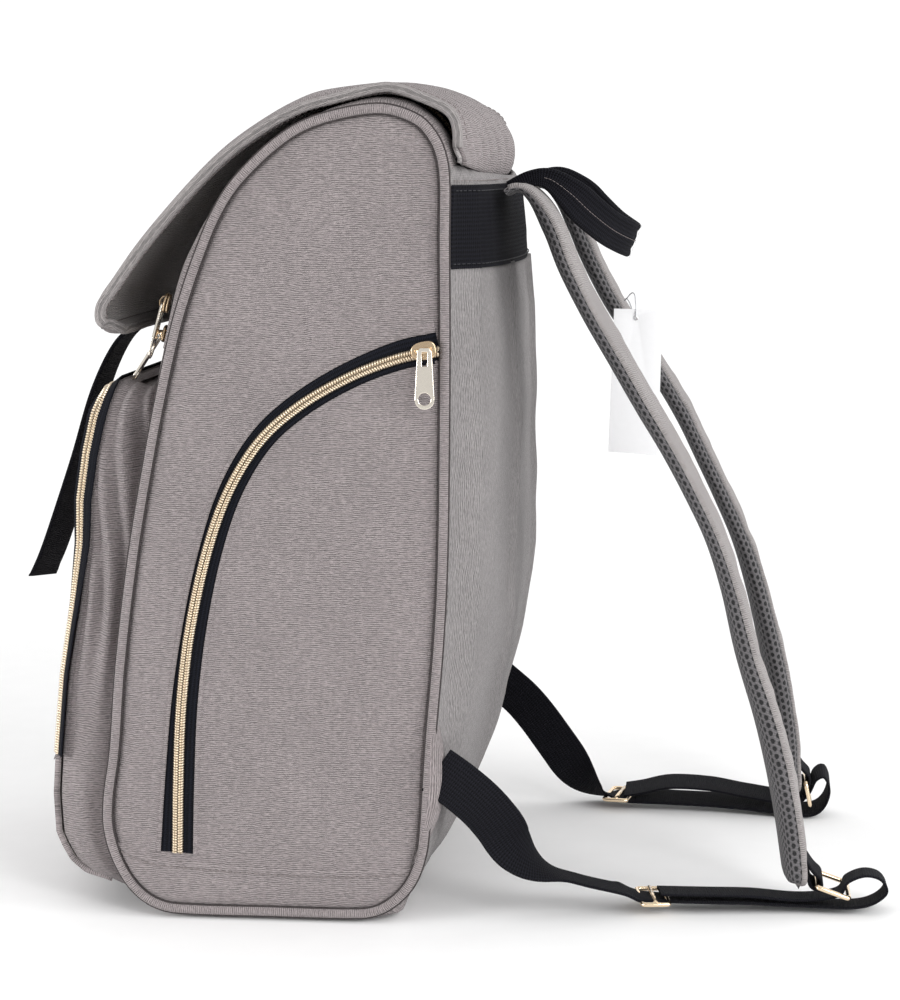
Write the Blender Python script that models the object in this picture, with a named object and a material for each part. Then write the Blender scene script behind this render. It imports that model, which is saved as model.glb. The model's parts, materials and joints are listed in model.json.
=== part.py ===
"""Backpack-style diaper bag: hollow main compartment, zips, flap, handle and shoulder harness.

Metres, +Z up. The front faces -Y, the harness is at +Y and X runs across the bag.
"""
import math

import bmesh
import bpy
import numpy as np
from mathutils import Vector

# Driving dimensions
HALF_WIDTH = 0.135        # outer face of each side panel
PANEL = 0.003             # sewn cloth and foam panels
GAP = 0.0003              # clearance between neighbouring pieces
PIPING = 0.006            # width of the piping band round each side panel
PIPING_RISE = 0.0025      # how far the piping stands out of the side panel
MOUTH_HALF = 0.104        # half width of the zipped top panel
COIL = 0.006              # width of the zip coils
HINGE = (0.086, 0.380)    # rear top seam (Y, Z) on which the top panel and the flap turn
STRAP_WIDTH = 0.060       # padded shoulder straps
WEBBING = 0.025           # adjuster webbing

# Outline of a side panel at the outside of its piping (Y, Z)
OUTLINE = [
    (0.045, 0.0), (-0.050, 0.0), (-0.068, 0.004), (-0.080, 0.013), (-0.090, 0.027), (-0.095, 0.050),
    (-0.0925, 0.077), (-0.087, 0.122), (-0.081, 0.170), (-0.0757, 0.211), (-0.0705, 0.240),
    (-0.066, 0.272), (-0.0634, 0.2865), (-0.055, 0.321), (-0.046, 0.341), (-0.036, 0.357),
    (-0.023, 0.373), (-0.009, 0.387), (0.005, 0.396), (0.019, 0.403), (0.033, 0.4075),
    (0.046, 0.409), (0.058, 0.4055), (0.066, 0.400), (0.0725, 0.392), (0.078, 0.382),
    (0.0805, 0.368), (0.0805, 0.330), (0.0812, 0.273), (0.0808, 0.213), (0.080, 0.166),
    (0.0765, 0.118), (0.073, 0.064), (0.070, 0.040), (0.064, 0.020), (0.056, 0.007),
]
FRONT_BOTTOM = 2          # outline index where the bottom panel meets the front panel
MOUTH_FRONT = 12          # outline index where the mouth starts at the front
MOUTH_REAR = 25           # outline index of the rear top seam

MATERIALS = {
    "cloth": (0.33, 0.29, 0.29, 0.85),
    "lining": (0.62, 0.58, 0.54, 0.8),
    "webbing": (0.02, 0.02, 0.025, 0.8),
    "mesh": (0.10, 0.095, 0.10, 0.9),
    "gold": (0.80, 0.66, 0.46, 0.25),
    "board": (0.12, 0.11, 0.11, 0.7),
    "card": (0.90, 0.90, 0.88, 0.6),
    "nylon": (0.85, 0.85, 0.85, 0.4),
}


def clear_scene():
    for item in list(bpy.data.objects):
        bpy.data.objects.remove(item, do_unlink=True)


def material(name, kind):
    r, g, b, rough = MATERIALS[kind]
    mat = bpy.data.materials.new(name)
    mat.use_nodes = True
    shader = mat.node_tree.nodes["Principled BSDF"]
    shader.inputs["Base Color"].default_value = (r, g, b, 1.0)
    shader.inputs["Roughness"].default_value = rough
    shader.inputs["Metallic"].default_value = 1.0 if kind == "gold" else 0.0
    return mat


def make(name, verts, faces, kind, origin=(0.0, 0.0, 0.0)):
    """One closed body from points and faces, with its origin where it turns."""
    o = Vector(origin)
    mesh = bpy.data.meshes.new(name)
    bm = bmesh.new()
    pts = [bm.verts.new(Vector(v) - o) for v in verts]
    for face in faces:
        bm.faces.new([pts[i] for i in face])
    bmesh.ops.recalc_face_normals(bm, faces=bm.faces)
    bm.to_mesh(mesh)
    bm.free()
    mesh.shade_smooth()
    mesh.set_sharp_from_angle(angle=math.radians(35))
    mesh.materials.append(material(name, kind))
    obj = bpy.data.objects.new(name, mesh)
    obj.location = o
    bpy.context.scene.collection.objects.link(obj)
    return obj


def unit(v):
    v = np.asarray(v, float)
    return v / max(np.linalg.norm(v), 1e-12)


def offset(points, distance):
    """A closed Y-Z outline moved inwards by a distance."""
    pts = np.array(points)
    out = []
    centre = pts.mean(0)
    for i, p in enumerate(pts):
        t = unit(pts[(i + 1) % len(pts)] - pts[i - 1])
        n = np.array([t[1], -t[0]])
        if n @ (centre - p) < 0:
            n = -n
        out.append(tuple(p + n * distance))
    return out


def plate(name, outline, x0, x1, kind, origin=(0, 0, 0)):
    """A flat plate: a Y-Z outline between two X positions."""
    n = len(outline)
    verts = [(x0, y, z) for y, z in outline] + [(x1, y, z) for y, z in outline]
    faces = [tuple(range(n)), tuple(range(n, 2 * n))]
    faces += [(i, (i + 1) % n, n + (i + 1) % n, n + i) for i in range(n)]
    return make(name, verts, faces, kind, origin)


def ring(name, outer, inner, x0, x1, kind):
    """A closed band between two Y-Z outlines with the same number of points."""
    n = len(outer)
    verts = [(x, y, z) for line in (outer, inner) for x in (x0, x1) for y, z in line]
    faces = []
    for i in range(n):
        j = (i + 1) % n
        faces += [(i, j, n + j, n + i), (2 * n + i, 2 * n + j, 3 * n + j, 3 * n + i)]
        faces += [(i, j, 2 * n + j, 2 * n + i), (n + i, n + j, 3 * n + j, 3 * n + i)]
    return make(name, verts, faces, kind)


def sections(name, rows, kind, closed=False, origin=(0, 0, 0)):
    """A body through a row of cross-sections with the same number of corners."""
    n = len(rows[0])
    verts = [p for row in rows for p in row]
    faces = []
    last = len(rows) if closed else len(rows) - 1
    for i in range(last):
        a = i * n
        b = ((i + 1) % len(rows)) * n
        faces += [(a + k, a + (k + 1) % n, b + (k + 1) % n, b + k) for k in range(n)]
    if not closed:
        faces.append(tuple(range(n)))
        faces.append(tuple(range(len(verts) - n, len(verts))))
    return make(name, verts, faces, kind, origin)


def path_rows(path, across, half, thick, closed=False):
    """Rectangular sections along a path; across is the width direction at each point."""
    path = [np.array(p, float) for p in path]
    rows = []
    for i, p in enumerate(path):
        if closed:
            t = path[(i + 1) % len(path)] - path[i - 1]
        else:
            t = path[min(i + 1, len(path) - 1)] - path[max(i - 1, 0)]
        t = unit(t)
        w = np.array(across[i] if isinstance(across, list) else across, float)
        w = unit(w - t * (w @ t))
        n = np.cross(t, w)
        h = half[i] if isinstance(half, list) else half
        e = thick[i] if isinstance(thick, list) else thick
        rows.append([p + w * h + n * e / 2, p - w * h + n * e / 2, p - w * h - n * e / 2, p + w * h - n * e / 2])
    return rows


def strip(name, path, across, half, thick, kind, closed=False, origin=(0, 0, 0)):
    return sections(name, path_rows(path, across, half, thick, closed), kind, closed, origin)


def band(name, line, start, x0, x1, thick, kind, origin=(0, 0, 0)):
    """A panel across the bag: a Y-Z line, start below it, thick deep, between x0 and x1."""
    top = edge(line, start)
    low = edge(line, start + thick)
    rows = []
    for (ya, za), (yb, zb) in zip(top, low):
        rows.append([(x0, ya, za), (x1, ya, za), (x1, yb, zb), (x0, yb, zb)])
    return sections(name, rows, kind, False, origin)


INSIDE = np.array([0.0, 0.2])


def edge(line, depth):
    """An open Y-Z line moved towards the inside of the bag."""
    pts = np.array(line)
    out = []
    for i, p in enumerate(pts):
        t = unit(pts[min(i + 1, len(pts) - 1)] - pts[max(i - 1, 0)])
        n = np.array([t[1], -t[0]])
        if n @ (INSIDE - p) < 0:
            n = -n
        out.append(tuple(p + n * depth))
    return out


def shell(name, front, back, kind, origin=(0, 0, 0)):
    """A closed skin between two grids of points of the same size."""
    rows = len(front)
    cols = len(front[0])
    verts = [p for grid in (front, back) for row in grid for p in row]
    half = rows * cols
    faces = []
    for side in (0, half):
        for i in range(rows - 1):
            for j in range(cols - 1):
                a = side + i * cols + j
                faces.append((a, a + 1, a + cols + 1, a + cols))
    rim = [j for j in range(cols)]
    rim += [i * cols + cols - 1 for i in range(1, rows)]
    rim += [(rows - 1) * cols + j for j in range(cols - 2, -1, -1)]
    rim += [i * cols for i in range(rows - 2, 0, -1)]
    for k, a in enumerate(rim):
        b = rim[(k + 1) % len(rim)]
        faces.append((a, b, half + b, half + a))
    return make(name, verts, faces, kind, origin)


def box(name, low, high, kind, origin=(0, 0, 0)):
    (a, b, c), (d, e, f) = low, high
    return plate(name, [(b, c), (e, c), (e, f), (b, f)], a, d, kind, origin)


def lerp_table(table, v):
    keys = [k for k, _ in table]
    vals = [w for _, w in table]
    return float(np.interp(v, keys, vals))


def build_body():
    inner = offset(OUTLINE, PIPING)
    panel = offset(OUTLINE, PIPING + GAP)
    for side, s in (("R", 1.0), ("L", -1.0)):
        xs = sorted((s * (HALF_WIDTH - 0.004), s * HALF_WIDTH))
        plate("side_panel_" + side, panel, xs[0], xs[1], "cloth")
        xs = sorted((s * (HALF_WIDTH - 0.004), s * (HALF_WIDTH + PIPING_RISE)))
        ring("piping_" + side, OUTLINE, inner, xs[0], xs[1], "cloth")
        low = [p for p in offset(OUTLINE, PIPING + 0.001) if p[1] < 0.030]
        low = sorted(low, key=lambda p: math.atan2(p[1] - 0.03, p[0]))
        low = [(-0.0855, 0.036)] + low + [(0.0580, 0.028), (0.016, 0.0262), (-0.045, 0.029)]
        x0 = HALF_WIDTH + GAP
        xs = sorted((s * x0, s * (x0 + 0.001)))
        plate("side_base_patch_" + side, low, xs[0], xs[1], "cloth")

    width = HALF_WIDTH - 0.004 - GAP
    count = len(OUTLINE)
    bottom = [(0.0595, 0.0120), OUTLINE[count - 1]] + OUTLINE[:FRONT_BOTTOM + 1]
    band("bottom_panel", bottom, 0.0, -width, width, PANEL, "cloth")
    front = OUTLINE[FRONT_BOTTOM:MOUTH_FRONT + 1]
    front = [(-0.0705, 0.0059)] + front[1:]
    band("front_panel", front, 0.0, -width, width, PANEL, "cloth")
    box("base_board", (-0.125, -0.046, 0.0045), (0.125, 0.040, 0.0070), "board")
    build_back(width)
    build_mouth(width)


# How far the padded back stands out behind the side outline at the middle of the bag, by height
BACK_BULGE = [(0.007, 0.0), (0.020, 0.006), (0.043, 0.013), (0.080, 0.024), (0.120, 0.0305), (0.165, 0.034),
              (0.250, 0.0345), (0.300, 0.033), (0.340, 0.029), (0.366, 0.023), (0.382, 0.012)]
REAR = [(z, y) for y, z in reversed(OUTLINE[MOUTH_REAR - 1:])]
BACK_COLUMNS = [-1.0, -0.93, -0.8, -0.5, 0.0, 0.5, 0.8, 0.93, 1.0]


def back_y(x, z, width):
    return lerp_table(REAR, z) + lerp_table(BACK_BULGE, z) * (1.0 - abs(x / width) ** 4)


def back_grid(width, heights, out, reach=1.0):
    grid = []
    for z in heights:
        row = []
        for c in BACK_COLUMNS:
            x = c * width * reach
            row.append((x, back_y(x, z, width) + out, z))
        grid.append(row)
    return grid


def build_back(width):
    main = [0.0155, 0.022, 0.043, 0.080, 0.120, 0.165, 0.210, 0.250, 0.300, 0.325]
    shell("back_panel", back_grid(width, main, 0.0), back_grid(width, main, -0.004), "cloth")
    upper = [0.3256, 0.340, 0.3665]
    shell("back_webbing_band", back_grid(width, upper, 0.0012), back_grid(width, upper, -0.003), "webbing")
    top = [0.3671, 0.3708, 0.3745]
    shell("back_top_band", back_grid(width, top, 0.0), back_grid(width, top, -0.003), "cloth")
    pocket = [(0.060, 0.115), (0.060, 0.112), (0.075, 0.112), (0.075, 0.115)]
    box("inner_pocket", (-0.110, 0.0700, 0.110), (0.110, 0.0725, 0.270), "lining")


def build_mouth(width):
    mouth = OUTLINE[MOUTH_FRONT:MOUTH_REAR + 1]
    start = mouth[0]
    lifted = [(start[0] + 0.0001, start[1] + 0.0004)] + mouth[1:]
    for side, s in (("R", 1.0), ("L", -1.0)):
        xs = sorted((s * (MOUTH_HALF + 0.0125), s * width))
        band("mouth_gusset_" + side, lifted, 0.0, xs[0], xs[1], PANEL, "cloth")
    # the zip tape sewn to the bag and its coil go up one side, and the same on the other: one U each
    u_strip("main_zip_tape", lifted, MOUTH_HALF + 0.0020, MOUTH_HALF + 0.0122, 0.0003, 0.0012, "webbing", 0.010)
    u_strip("main_zip_coil", lifted, MOUTH_HALF + 0.0023, MOUTH_HALF + 0.0063, -0.0020, -0.0002, "gold", 0.0)
    band("zip_panel", mouth[2:], 0.0, -MOUTH_HALF + 0.006, MOUTH_HALF - 0.006, PANEL, "cloth",
         (0.0, HINGE[0], HINGE[1]))
    u_strip("panel_zip_tape", lifted[1:], MOUTH_HALF - 0.0057, MOUTH_HALF + 0.0017, 0.0003, 0.0012, "webbing",
            0.010, (0.0, HINGE[0], HINGE[1]))


def u_strip(name, line, x_in, x_out, depth_a, depth_b, kind, drop, origin=(0, 0, 0)):
    """A strip up one side of the mouth, across its front and up the other side."""
    line = list(line)
    t = unit(np.array(line[1]) - np.array(line[0]))
    a = edge(line, depth_a)
    b = edge(line, depth_b)
    across = x_out - x_in
    first = np.array(line[0])
    below = first
    above = first + t * across
    n = np.array(b[0]) - np.array(a[0])
    a_low = np.array(a[0]) + (below - first)
    a_high = a_low + (above - below)
    rows = []
    for i in range(len(line) - 1, 0, -1):
        rows.append([(x_in, *a[i]), (x_out, *a[i]), (x_out, *b[i]), (x_in, *b[i])])
    rows.append([(x_in, *a_high), (x_out, *a_low), (x_out, *(a_low + n)), (x_in, *(a_high + n))])
    rows.append([(-x_in, *a_high), (-x_out, *a_low), (-x_out, *(a_low + n)), (-x_in, *(a_high + n))])
    for i in range(1, len(line)):
        rows.append([(-x_in, *a[i]), (-x_out, *a[i]), (-x_out, *b[i]), (-x_in, *b[i])])
    return sections(name, rows, kind, False, origin)


# Side zip from its rear top end to its front bottom end (Y, Z)
SIDE_ZIP = [(0.0735, 0.2878), (0.0565, 0.2844), (0.0318, 0.2744), (0.007, 0.2595), (-0.0121, 0.242),
            (-0.0273, 0.2169), (-0.0377, 0.1868), (-0.0457, 0.1514), (-0.0518, 0.1107), (-0.0549, 0.0697),
            (-0.0569, 0.0380)]
TAPE_HALF = 0.0085


def flat_strip(name, line, half, x0, x1, kind):
    """A strip lying on a side panel, following a Y-Z line."""
    pts = np.array(line)
    rows = []
    for i, p in enumerate(pts):
        t = unit(pts[min(i + 1, len(pts) - 1)] - pts[max(i - 1, 0)])
        n = np.array([t[1], -t[0]])
        a = p + n * half
        b = p - n * half
        rows.append([(x0, *a), (x1, *a), (x1, *b), (x0, *b)])
    return sections(name, rows, kind)


def circle_through(a, b, c):
    (ax, ay), (bx, by), (cx, cy) = a, b, c
    d = 2 * (ax * (by - cy) + bx * (cy - ay) + cx * (ay - by))
    ux = ((ax**2 + ay**2) * (by - cy) + (bx**2 + by**2) * (cy - ay) + (cx**2 + cy**2) * (ay - by)) / d
    uy = ((ax**2 + ay**2) * (cx - bx) + (bx**2 + by**2) * (ax - cx) + (cx**2 + cy**2) * (bx - ax)) / d
    return ux, uy


SLIDER = (0.0660, 0.2872)  # side slider (Y, Z)


def pull_outline(cy, top, length, wide, narrow):
    """A tapered pull tab with rounded lower end, hanging from top (Y, Z)."""
    r = wide / 2
    pts = [(cy - narrow / 2, top), (cy + narrow / 2, top)]
    for k in range(7):
        a = math.pi * k / 6
        pts.append((cy + r * math.cos(a), top - length + r - r * math.sin(a)))
    return pts


def build_side_zips():
    for side, s in (("R", 1.0), ("L", -1.0)):
        def spot(a, b, s=s):
            return sorted((s * (HALF_WIDTH + a), s * (HALF_WIDTH + b)))
        line = SIDE_ZIP
        x = spot(GAP, 0.0010)
        flat_strip("side_zip_tape_" + side, line, TAPE_HALF, x[0], x[1], "webbing")
        x = spot(0.0013, 0.0030)
        flat_strip("side_zip_coil_" + side, line, COIL / 2, x[0], x[1], "gold")
        y, z = SLIDER
        x = spot(0.0033, 0.0068)
        box("side_slider_" + side, (x[0], y - 0.0055, z - 0.0045), (x[1], y + 0.0055, z + 0.0045), "gold",
            (s * (HALF_WIDTH + 0.0060), y, z))
        x = spot(0.0071, 0.0085)
        tab = pull_outline(y - 0.0005, z + 0.0005, 0.0280, 0.0095, 0.0068)
        plate("side_pull_" + side, tab, x[0], x[1], "gold", (s * (HALF_WIDTH + 0.0078), y, z))


# Front pocket: side edge of its face by height (Z, Y)
FACE_EDGE = [(0.0150, -0.100), (0.0200, -0.1130), (0.0300, -0.1195), (0.0370, -0.1225), (0.0576, -0.1235),
             (0.080, -0.1220), (0.1185, -0.1185), (0.156, -0.1125), (0.1865, -0.1085), (0.209, -0.1080),
             (0.2325, -0.1045), (0.252, -0.1000), (0.2640, -0.0950)]
POCKET_HALF = 0.118
POCKET_BULGE = 0.010
POCKET_COLUMNS = [-1.0, -0.75, -0.4, 0.0, 0.4, 0.75, 1.0]


def face_y(x, z):
    return lerp_table(FACE_EDGE, z) - POCKET_BULGE * (1.0 - (x / POCKET_HALF) ** 2)


def face_grid(heights, inset, half):
    return [[(c * half, face_y(c * half, z) + inset, z) for c in POCKET_COLUMNS] for z in heights]


FRONT_LINE = [(z, y) for y, z in OUTLINE[FRONT_BOTTOM:MOUTH_FRONT + 1]]


def bag_front(z):
    return lerp_table(FRONT_LINE, z)


def build_front_pocket():
    upper = [0.0785, 0.1185, 0.156, 0.1865, 0.209, 0.2325, 0.2570]
    lower = [0.0150, 0.0200, 0.0300, 0.0576, 0.0778]
    half = POCKET_HALF - 0.0065
    shell("front_pocket_face", face_grid(upper, 0.0, half), face_grid(upper, PANEL, half), "cloth")
    shell("front_pocket_base", face_grid(lower, 0.0, half), face_grid(lower, PANEL, half), "cloth")
    # the wall round both sides and the top, one piece, from the bag's front to just behind the face
    side = [0.0150, 0.0270, 0.0380, 0.0500, 0.0770, 0.1185, 0.156, 0.1865, 0.209, 0.2325, 0.250]
    wall = 0.0025
    rows = []

    def section(s, z):
        x = s * POCKET_HALF
        back = bag_front(max(z, 0.0150)) - 0.0010
        front = lerp_table(FACE_EDGE, z) + 0.0042
        front = min(front, back - 0.006)
        return [(x, front, z), (x, back, z), (x - s * wall, back, z), (x - s * wall, front, z)]

    for z in side:
        rows.append(section(1.0, z))
    top = 0.2640
    back = bag_front(top) - 0.0010
    front = lerp_table(FACE_EDGE, 0.262) + 0.0042
    corner = 0.010
    rows.append([(POCKET_HALF - 0.003, front, 0.2615), (POCKET_HALF - 0.003, back, 0.2615),
                 (POCKET_HALF - 0.0048, back, 0.2597), (POCKET_HALF - 0.0048, front, 0.2597)])
    for x in (POCKET_HALF - corner, 0.0, -POCKET_HALF + corner):
        rows.append([(x, front, top + 0.0015), (x, back, top + 0.0015), (x, back, top - 0.001),
                     (x, front, top - 0.001)])
    rows.append([(-POCKET_HALF + 0.003, front, 0.2615), (-POCKET_HALF + 0.003, back, 0.2615),
                 (-POCKET_HALF + 0.0048, back, 0.2597), (-POCKET_HALF + 0.0048, front, 0.2597)])
    for z in reversed(side):
        rows.append(section(-1.0, z))
    sections("front_pocket_gusset", rows, "cloth")
    pocket_zip("front_zip_tape", POCKET_HALF + 0.0003, POCKET_HALF + 0.0013, 0.0035, 0.0095, "webbing")
    pocket_zip("front_zip_coil", POCKET_HALF - 0.0050, POCKET_HALF - 0.0004, -0.0008, 0.0036, "gold")
    z = 0.185
    y = lerp_table(FACE_EDGE, z)
    x = -POCKET_HALF
    box("front_slider", (x - 0.0030, y - 0.0056, z - 0.005), (x + 0.0045, y - 0.0022, z + 0.005), "gold",
        (x, y - 0.004, z))
    tab = [(x - 0.0028, z + 0.0004), (x + 0.0040, z + 0.0004), (x + 0.0052, z - 0.0265), (x - 0.0040, z - 0.0265)]
    rows = []
    for d in (-0.0074, -0.0060):
        rows.append([(px, y + d, pz) for px, pz in tab])
    sections("front_pull", rows, "gold", False, (x, y - 0.0067, z))


def pocket_zip(name, x_in, x_out, y_a, y_b, kind):
    """A strip round the front edge of the pocket: up one side, across the top, down the other."""
    heights = [0.0790, 0.1185, 0.156, 0.1865, 0.209, 0.2325, 0.250]
    rows = []
    across = x_out - x_in

    def section(s, z):
        y = lerp_table(FACE_EDGE, z)
        return [(s * x_out, y + y_a, z), (s * x_out, y + y_b, z), (s * x_in, y + y_b, z), (s * x_in, y + y_a, z)]

    def top(x, z, lean):
        y = lerp_table(FACE_EDGE, 0.262)
        return [(x, y + y_a, z), (x, y + y_b, z), (x - lean, y + y_b, z - across), (x - lean, y + y_a, z - across)]

    rise = 0.2660 + (x_out - POCKET_HALF)
    for z in heights:
        rows.append(section(1.0, z))
    rows.append(top(x_out - 0.003, rise - 0.003, across * 0.6))
    for x in (x_out - 0.011, 0.0, -x_out + 0.011):
        rows.append(top(x, rise, 0.0))
    rows.append(top(-x_out + 0.003, rise - 0.003, -across * 0.6))
    for z in reversed(heights):
        rows.append(section(-1.0, z))
    return sections(name, rows, kind)


# Flap from the rear top seam over the bag to its hanging front end (Y, Z)
FLAP = [(0.0905, 0.3885), (0.0875, 0.3960), (0.0810, 0.4050), (0.0698, 0.4118), (0.0577, 0.4156),
        (0.0445, 0.4165), (0.0166, 0.4124), (0.0008, 0.4055), (-0.0150, 0.3963), (-0.0310, 0.3847),
        (-0.0470, 0.3700), (-0.0630, 0.3529), (-0.0792, 0.3341), (-0.0908, 0.3185), (-0.0980, 0.3091),
        (-0.0995, 0.2990), (-0.0965, 0.2925)]
FLAP_HALF = 0.131
FLAP_STRAP = [(-0.1000, 0.2900), (-0.1155, 0.2810), (-0.1270, 0.2550), (-0.1400, 0.2180), (-0.1500, 0.1830),
              (-0.1560, 0.1510)]
FLAP_STRAP_HALF = 0.019


def build_flap():
    origin = (0.0, HINGE[0], HINGE[1])
    band("flap_shell", FLAP, 0.0, -FLAP_HALF, FLAP_HALF, 0.003, "cloth", origin)
    band("flap_lining", FLAP[1:-2], 0.0034, -FLAP_HALF + 0.004, FLAP_HALF - 0.004, 0.0015, "lining", origin)
    strip("flap_strap", [(0.0, y, z) for y, z in FLAP_STRAP], (1, 0, 0), FLAP_STRAP_HALF, 0.0018, "webbing",
          False, (0.0, -0.0990, 0.2915))


HANDLE_ROOT = (0.1085, 0.3655)


def build_handle():
    """A webbing loop lying out behind the bag: both ends on the back, its middle drooping."""
    points = [(0.050, 0.1065, 0.3655), (0.0495, 0.1200, 0.3665), (0.0460, 0.1350, 0.3640),
              (0.0370, 0.1480, 0.3560), (0.0220, 0.1580, 0.3470), (0.0, 0.1620, 0.3420)]
    points += [(-x, y, z) for x, y, z in reversed(points[:-1])]
    mid = [np.array(p) for p in points]
    rows = path_rows(mid, (0.0, 0.45, 0.9), 0.0125, 0.0024)
    sections("carry_handle", rows, "webbing", False, (0.0, HANDLE_ROOT[0], HANDLE_ROOT[1]))


# Shoulder strap centre line from its top end (Y, Z); each side has its own spread at the floor
STRAP_LINE = [(0.1265, 0.3600), (0.1330, 0.3450), (0.1420, 0.3250), (0.1530, 0.3020), (0.1640, 0.2800),
              (0.1760, 0.2570), (0.1880, 0.2350), (0.1990, 0.2130), (0.2090, 0.1900), (0.2190, 0.1640),
              (0.2290, 0.1330), (0.2380, 0.1000), (0.2450, 0.0720), (0.2520, 0.0470), (0.2575, 0.0250)]
STRAP_TOP_X = 0.070
STRAP_FLOOR_X = {"R": 0.085, "L": 0.115}
STRAP_THICK = 0.0135
LOWER_WEBBING = {"R": [(0.1290, 0.0840, 0.0690), (0.1240, 0.0920, 0.0560), (0.1200, 0.1030, 0.0390),
                       (0.1150, 0.1190, 0.0240), (0.1090, 0.1370, 0.0130), (0.1020, 0.1570, 0.0064)],
                 "L": [(0.1290, 0.0840, 0.0690), (0.1270, 0.0950, 0.0580), (0.1275, 0.1050, 0.0440),
                       (0.1265, 0.1160, 0.0290), (0.1258, 0.1280, 0.0160), (0.1252, 0.1420, 0.0070)]}
# where the webbing turns back through the glide, out from the strap's own line (X, Y, Z)
GLIDE_RUN = {"R": [(0.0100, 0.1780, 0.0050)], "L": [(0.0100, 0.1520, 0.0050), (0.0090, 0.1900, 0.0046)]}
RING_Y = 0.2760


def strap_x(z, floor):
    t = min(max((z - 0.02) / 0.34, 0.0), 1.0)
    return floor + (STRAP_TOP_X - floor) * t


def build_strap(side, s):
    floor = STRAP_FLOOR_X[side]
    centre = [np.array((s * strap_x(z, floor), y, z)) for y, z in STRAP_LINE]
    taper = [0.32, 0.62] + [1.0] * (len(centre) - 4) + [0.80, 0.50]
    across = (1.0, 0.0, 0.0)
    top = (s * STRAP_TOP_X, 0.1150, 0.3600)
    cover = []
    mesh = []
    for i, p in enumerate(centre):
        t = unit(centre[min(i + 1, len(centre) - 1)] - centre[max(i - 1, 0)])
        w = unit(np.array(across) - t * (np.array(across) @ t))
        n = unit(np.cross(w, t))
        if n[1] < 0:
            n = -n
        h = STRAP_WIDTH / 2 * taper[i]
        flat = min(1.0, 0.55 + 0.45 * taper[i])
        out = STRAP_THICK / 2 * flat
        split = -0.0015 * flat
        cover.append([p + w * h + n * split, p + w * h * 0.98 + n * out * 0.5, p + w * h * 0.7 + n * out,
                      p - w * h * 0.7 + n * out, p - w * h * 0.98 + n * out * 0.5, p - w * h + n * split])
        split -= GAP
        mesh.append([p + w * h + n * split, p + w * h * 0.8 - n * out, p - w * h * 0.8 - n * out,
                     p - w * h + n * split])
    sections("shoulder_pad_" + side, cover, "cloth", False, top)
    sections("shoulder_mesh_" + side, mesh, "mesh", False, top)
    x = s * floor
    # webbing loop out of the pad's end round the ring's upper bar
    upper = np.array((x, 0.2640, 0.0140))
    lower = np.array((x, 0.2800, 0.0085))
    loop = []
    for k in range(10):
        a = math.radians(-130 + 260 * k / 9)
        d = unit(upper - np.array((x, 0.2578, 0.0200)))
        u = np.array((0.0, -d[2], d[1]))
        loop.append(upper + (d * math.cos(a) + u * math.sin(a)) * 0.0030)
    strip("pad_end_loop_" + side, loop, (1, 0, 0), WEBBING / 2, 0.0014, "webbing", False, top)
    rect_ring("strap_ring_" + side, upper, lower, s, 0.0152, 0.0011, "gold", top)
    # adjuster webbing: from the corner tab to the floor, doubled through the glide, round the ring's lower bar
    single = [np.array((s * a, y, z)) for a, y, z in LOWER_WEBBING[side]]
    floor_run = [(x + s * 0.004, 0.2300, 0.0036), (x, 0.2560, 0.0028),
                 (x, 0.2820, 0.0028), (x, 0.2866, 0.0048), (x, 0.2872, 0.0086), (x, 0.2845, 0.0118),
                 (x, 0.2800, 0.0124)]
    doubled = [p for p in GLIDE_RUN[side]]
    path = single + [np.array((x + s * a, y, z)) for a, y, z in doubled] + [np.array(p) for p in floor_run]
    thick = [0.0016] * 6 + [0.0034] * (len(doubled) + 2) + [0.0016] * 5
    widths = [0.5, 0.8] + [1.0] * (len(path) - 2)
    halves = [WEBBING / 2 * w for w in widths]
    rows = path_rows(path, [(0.75, 0.3, 0.6)] * 2 + [(1, 0, 0.2)] * 2 + [(1, 0, 0)] * (len(path) - 4), halves, thick)
    sections("adjuster_webbing_" + side, rows, "webbing", False, top)


def rect_ring(name, upper, lower, s, half, r, kind, origin):
    """A rectangular ring of square wire whose two long bars run along X."""
    d = unit(lower - upper)
    n = np.cross((1.0, 0.0, 0.0), d)
    centre = (upper + lower) / 2
    reach = np.linalg.norm(lower - upper) / 2
    rows = []
    corners = [(half, -reach), (half, reach), (-half, reach), (-half, -reach)]
    for a, b in corners:
        row = []
        for sx, sn in ((1, 1), (1, -1), (-1, -1), (-1, 1)):
            ax = a + math.copysign(r, a) * sx
            bx = b + math.copysign(r, b) * sx
            row.append(centre + np.array((1.0, 0.0, 0.0)) * ax + d * bx + n * r * sn)
        rows.append(row)
    return sections(name, rows, kind, True, origin)


def build_glide(side, s):
    floor = STRAP_FLOOR_X[side]
    y0 = GLIDE_RUN[side][0][1]
    y1 = y0 + 0.006
    x = s * (floor + 0.0097)
    w = WEBBING / 2 + 0.0010
    z0, z1 = 0.0050 - 0.0026, 0.0050 + 0.0026
    rows = []
    for y in (y0, y1):
        rows.append([(x - w - 0.0018, y, z0 - 0.0016), (x + w + 0.0018, y, z0 - 0.0016),
                     (x + w + 0.0018, y, z1 + 0.0016), (x - w - 0.0018, y, z1 + 0.0016)])
    hole = []
    for y in (y0, y1):
        hole.append([(x - w, y, z0), (x + w, y, z0), (x + w, y, z1), (x - w, y, z1)])
    verts = rows[0] + rows[1] + hole[0] + hole[1]
    faces = []
    for i in range(4):
        j = (i + 1) % 4
        faces += [(i, j, 4 + j, 4 + i), (8 + i, 8 + j, 12 + j, 12 + i)]
        faces += [(i, j, 8 + j, 8 + i), (4 + i, 4 + j, 12 + j, 12 + i)]
    make("tri_glide_" + side, verts, faces, "gold", (x, y0, 0.0050))


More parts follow.
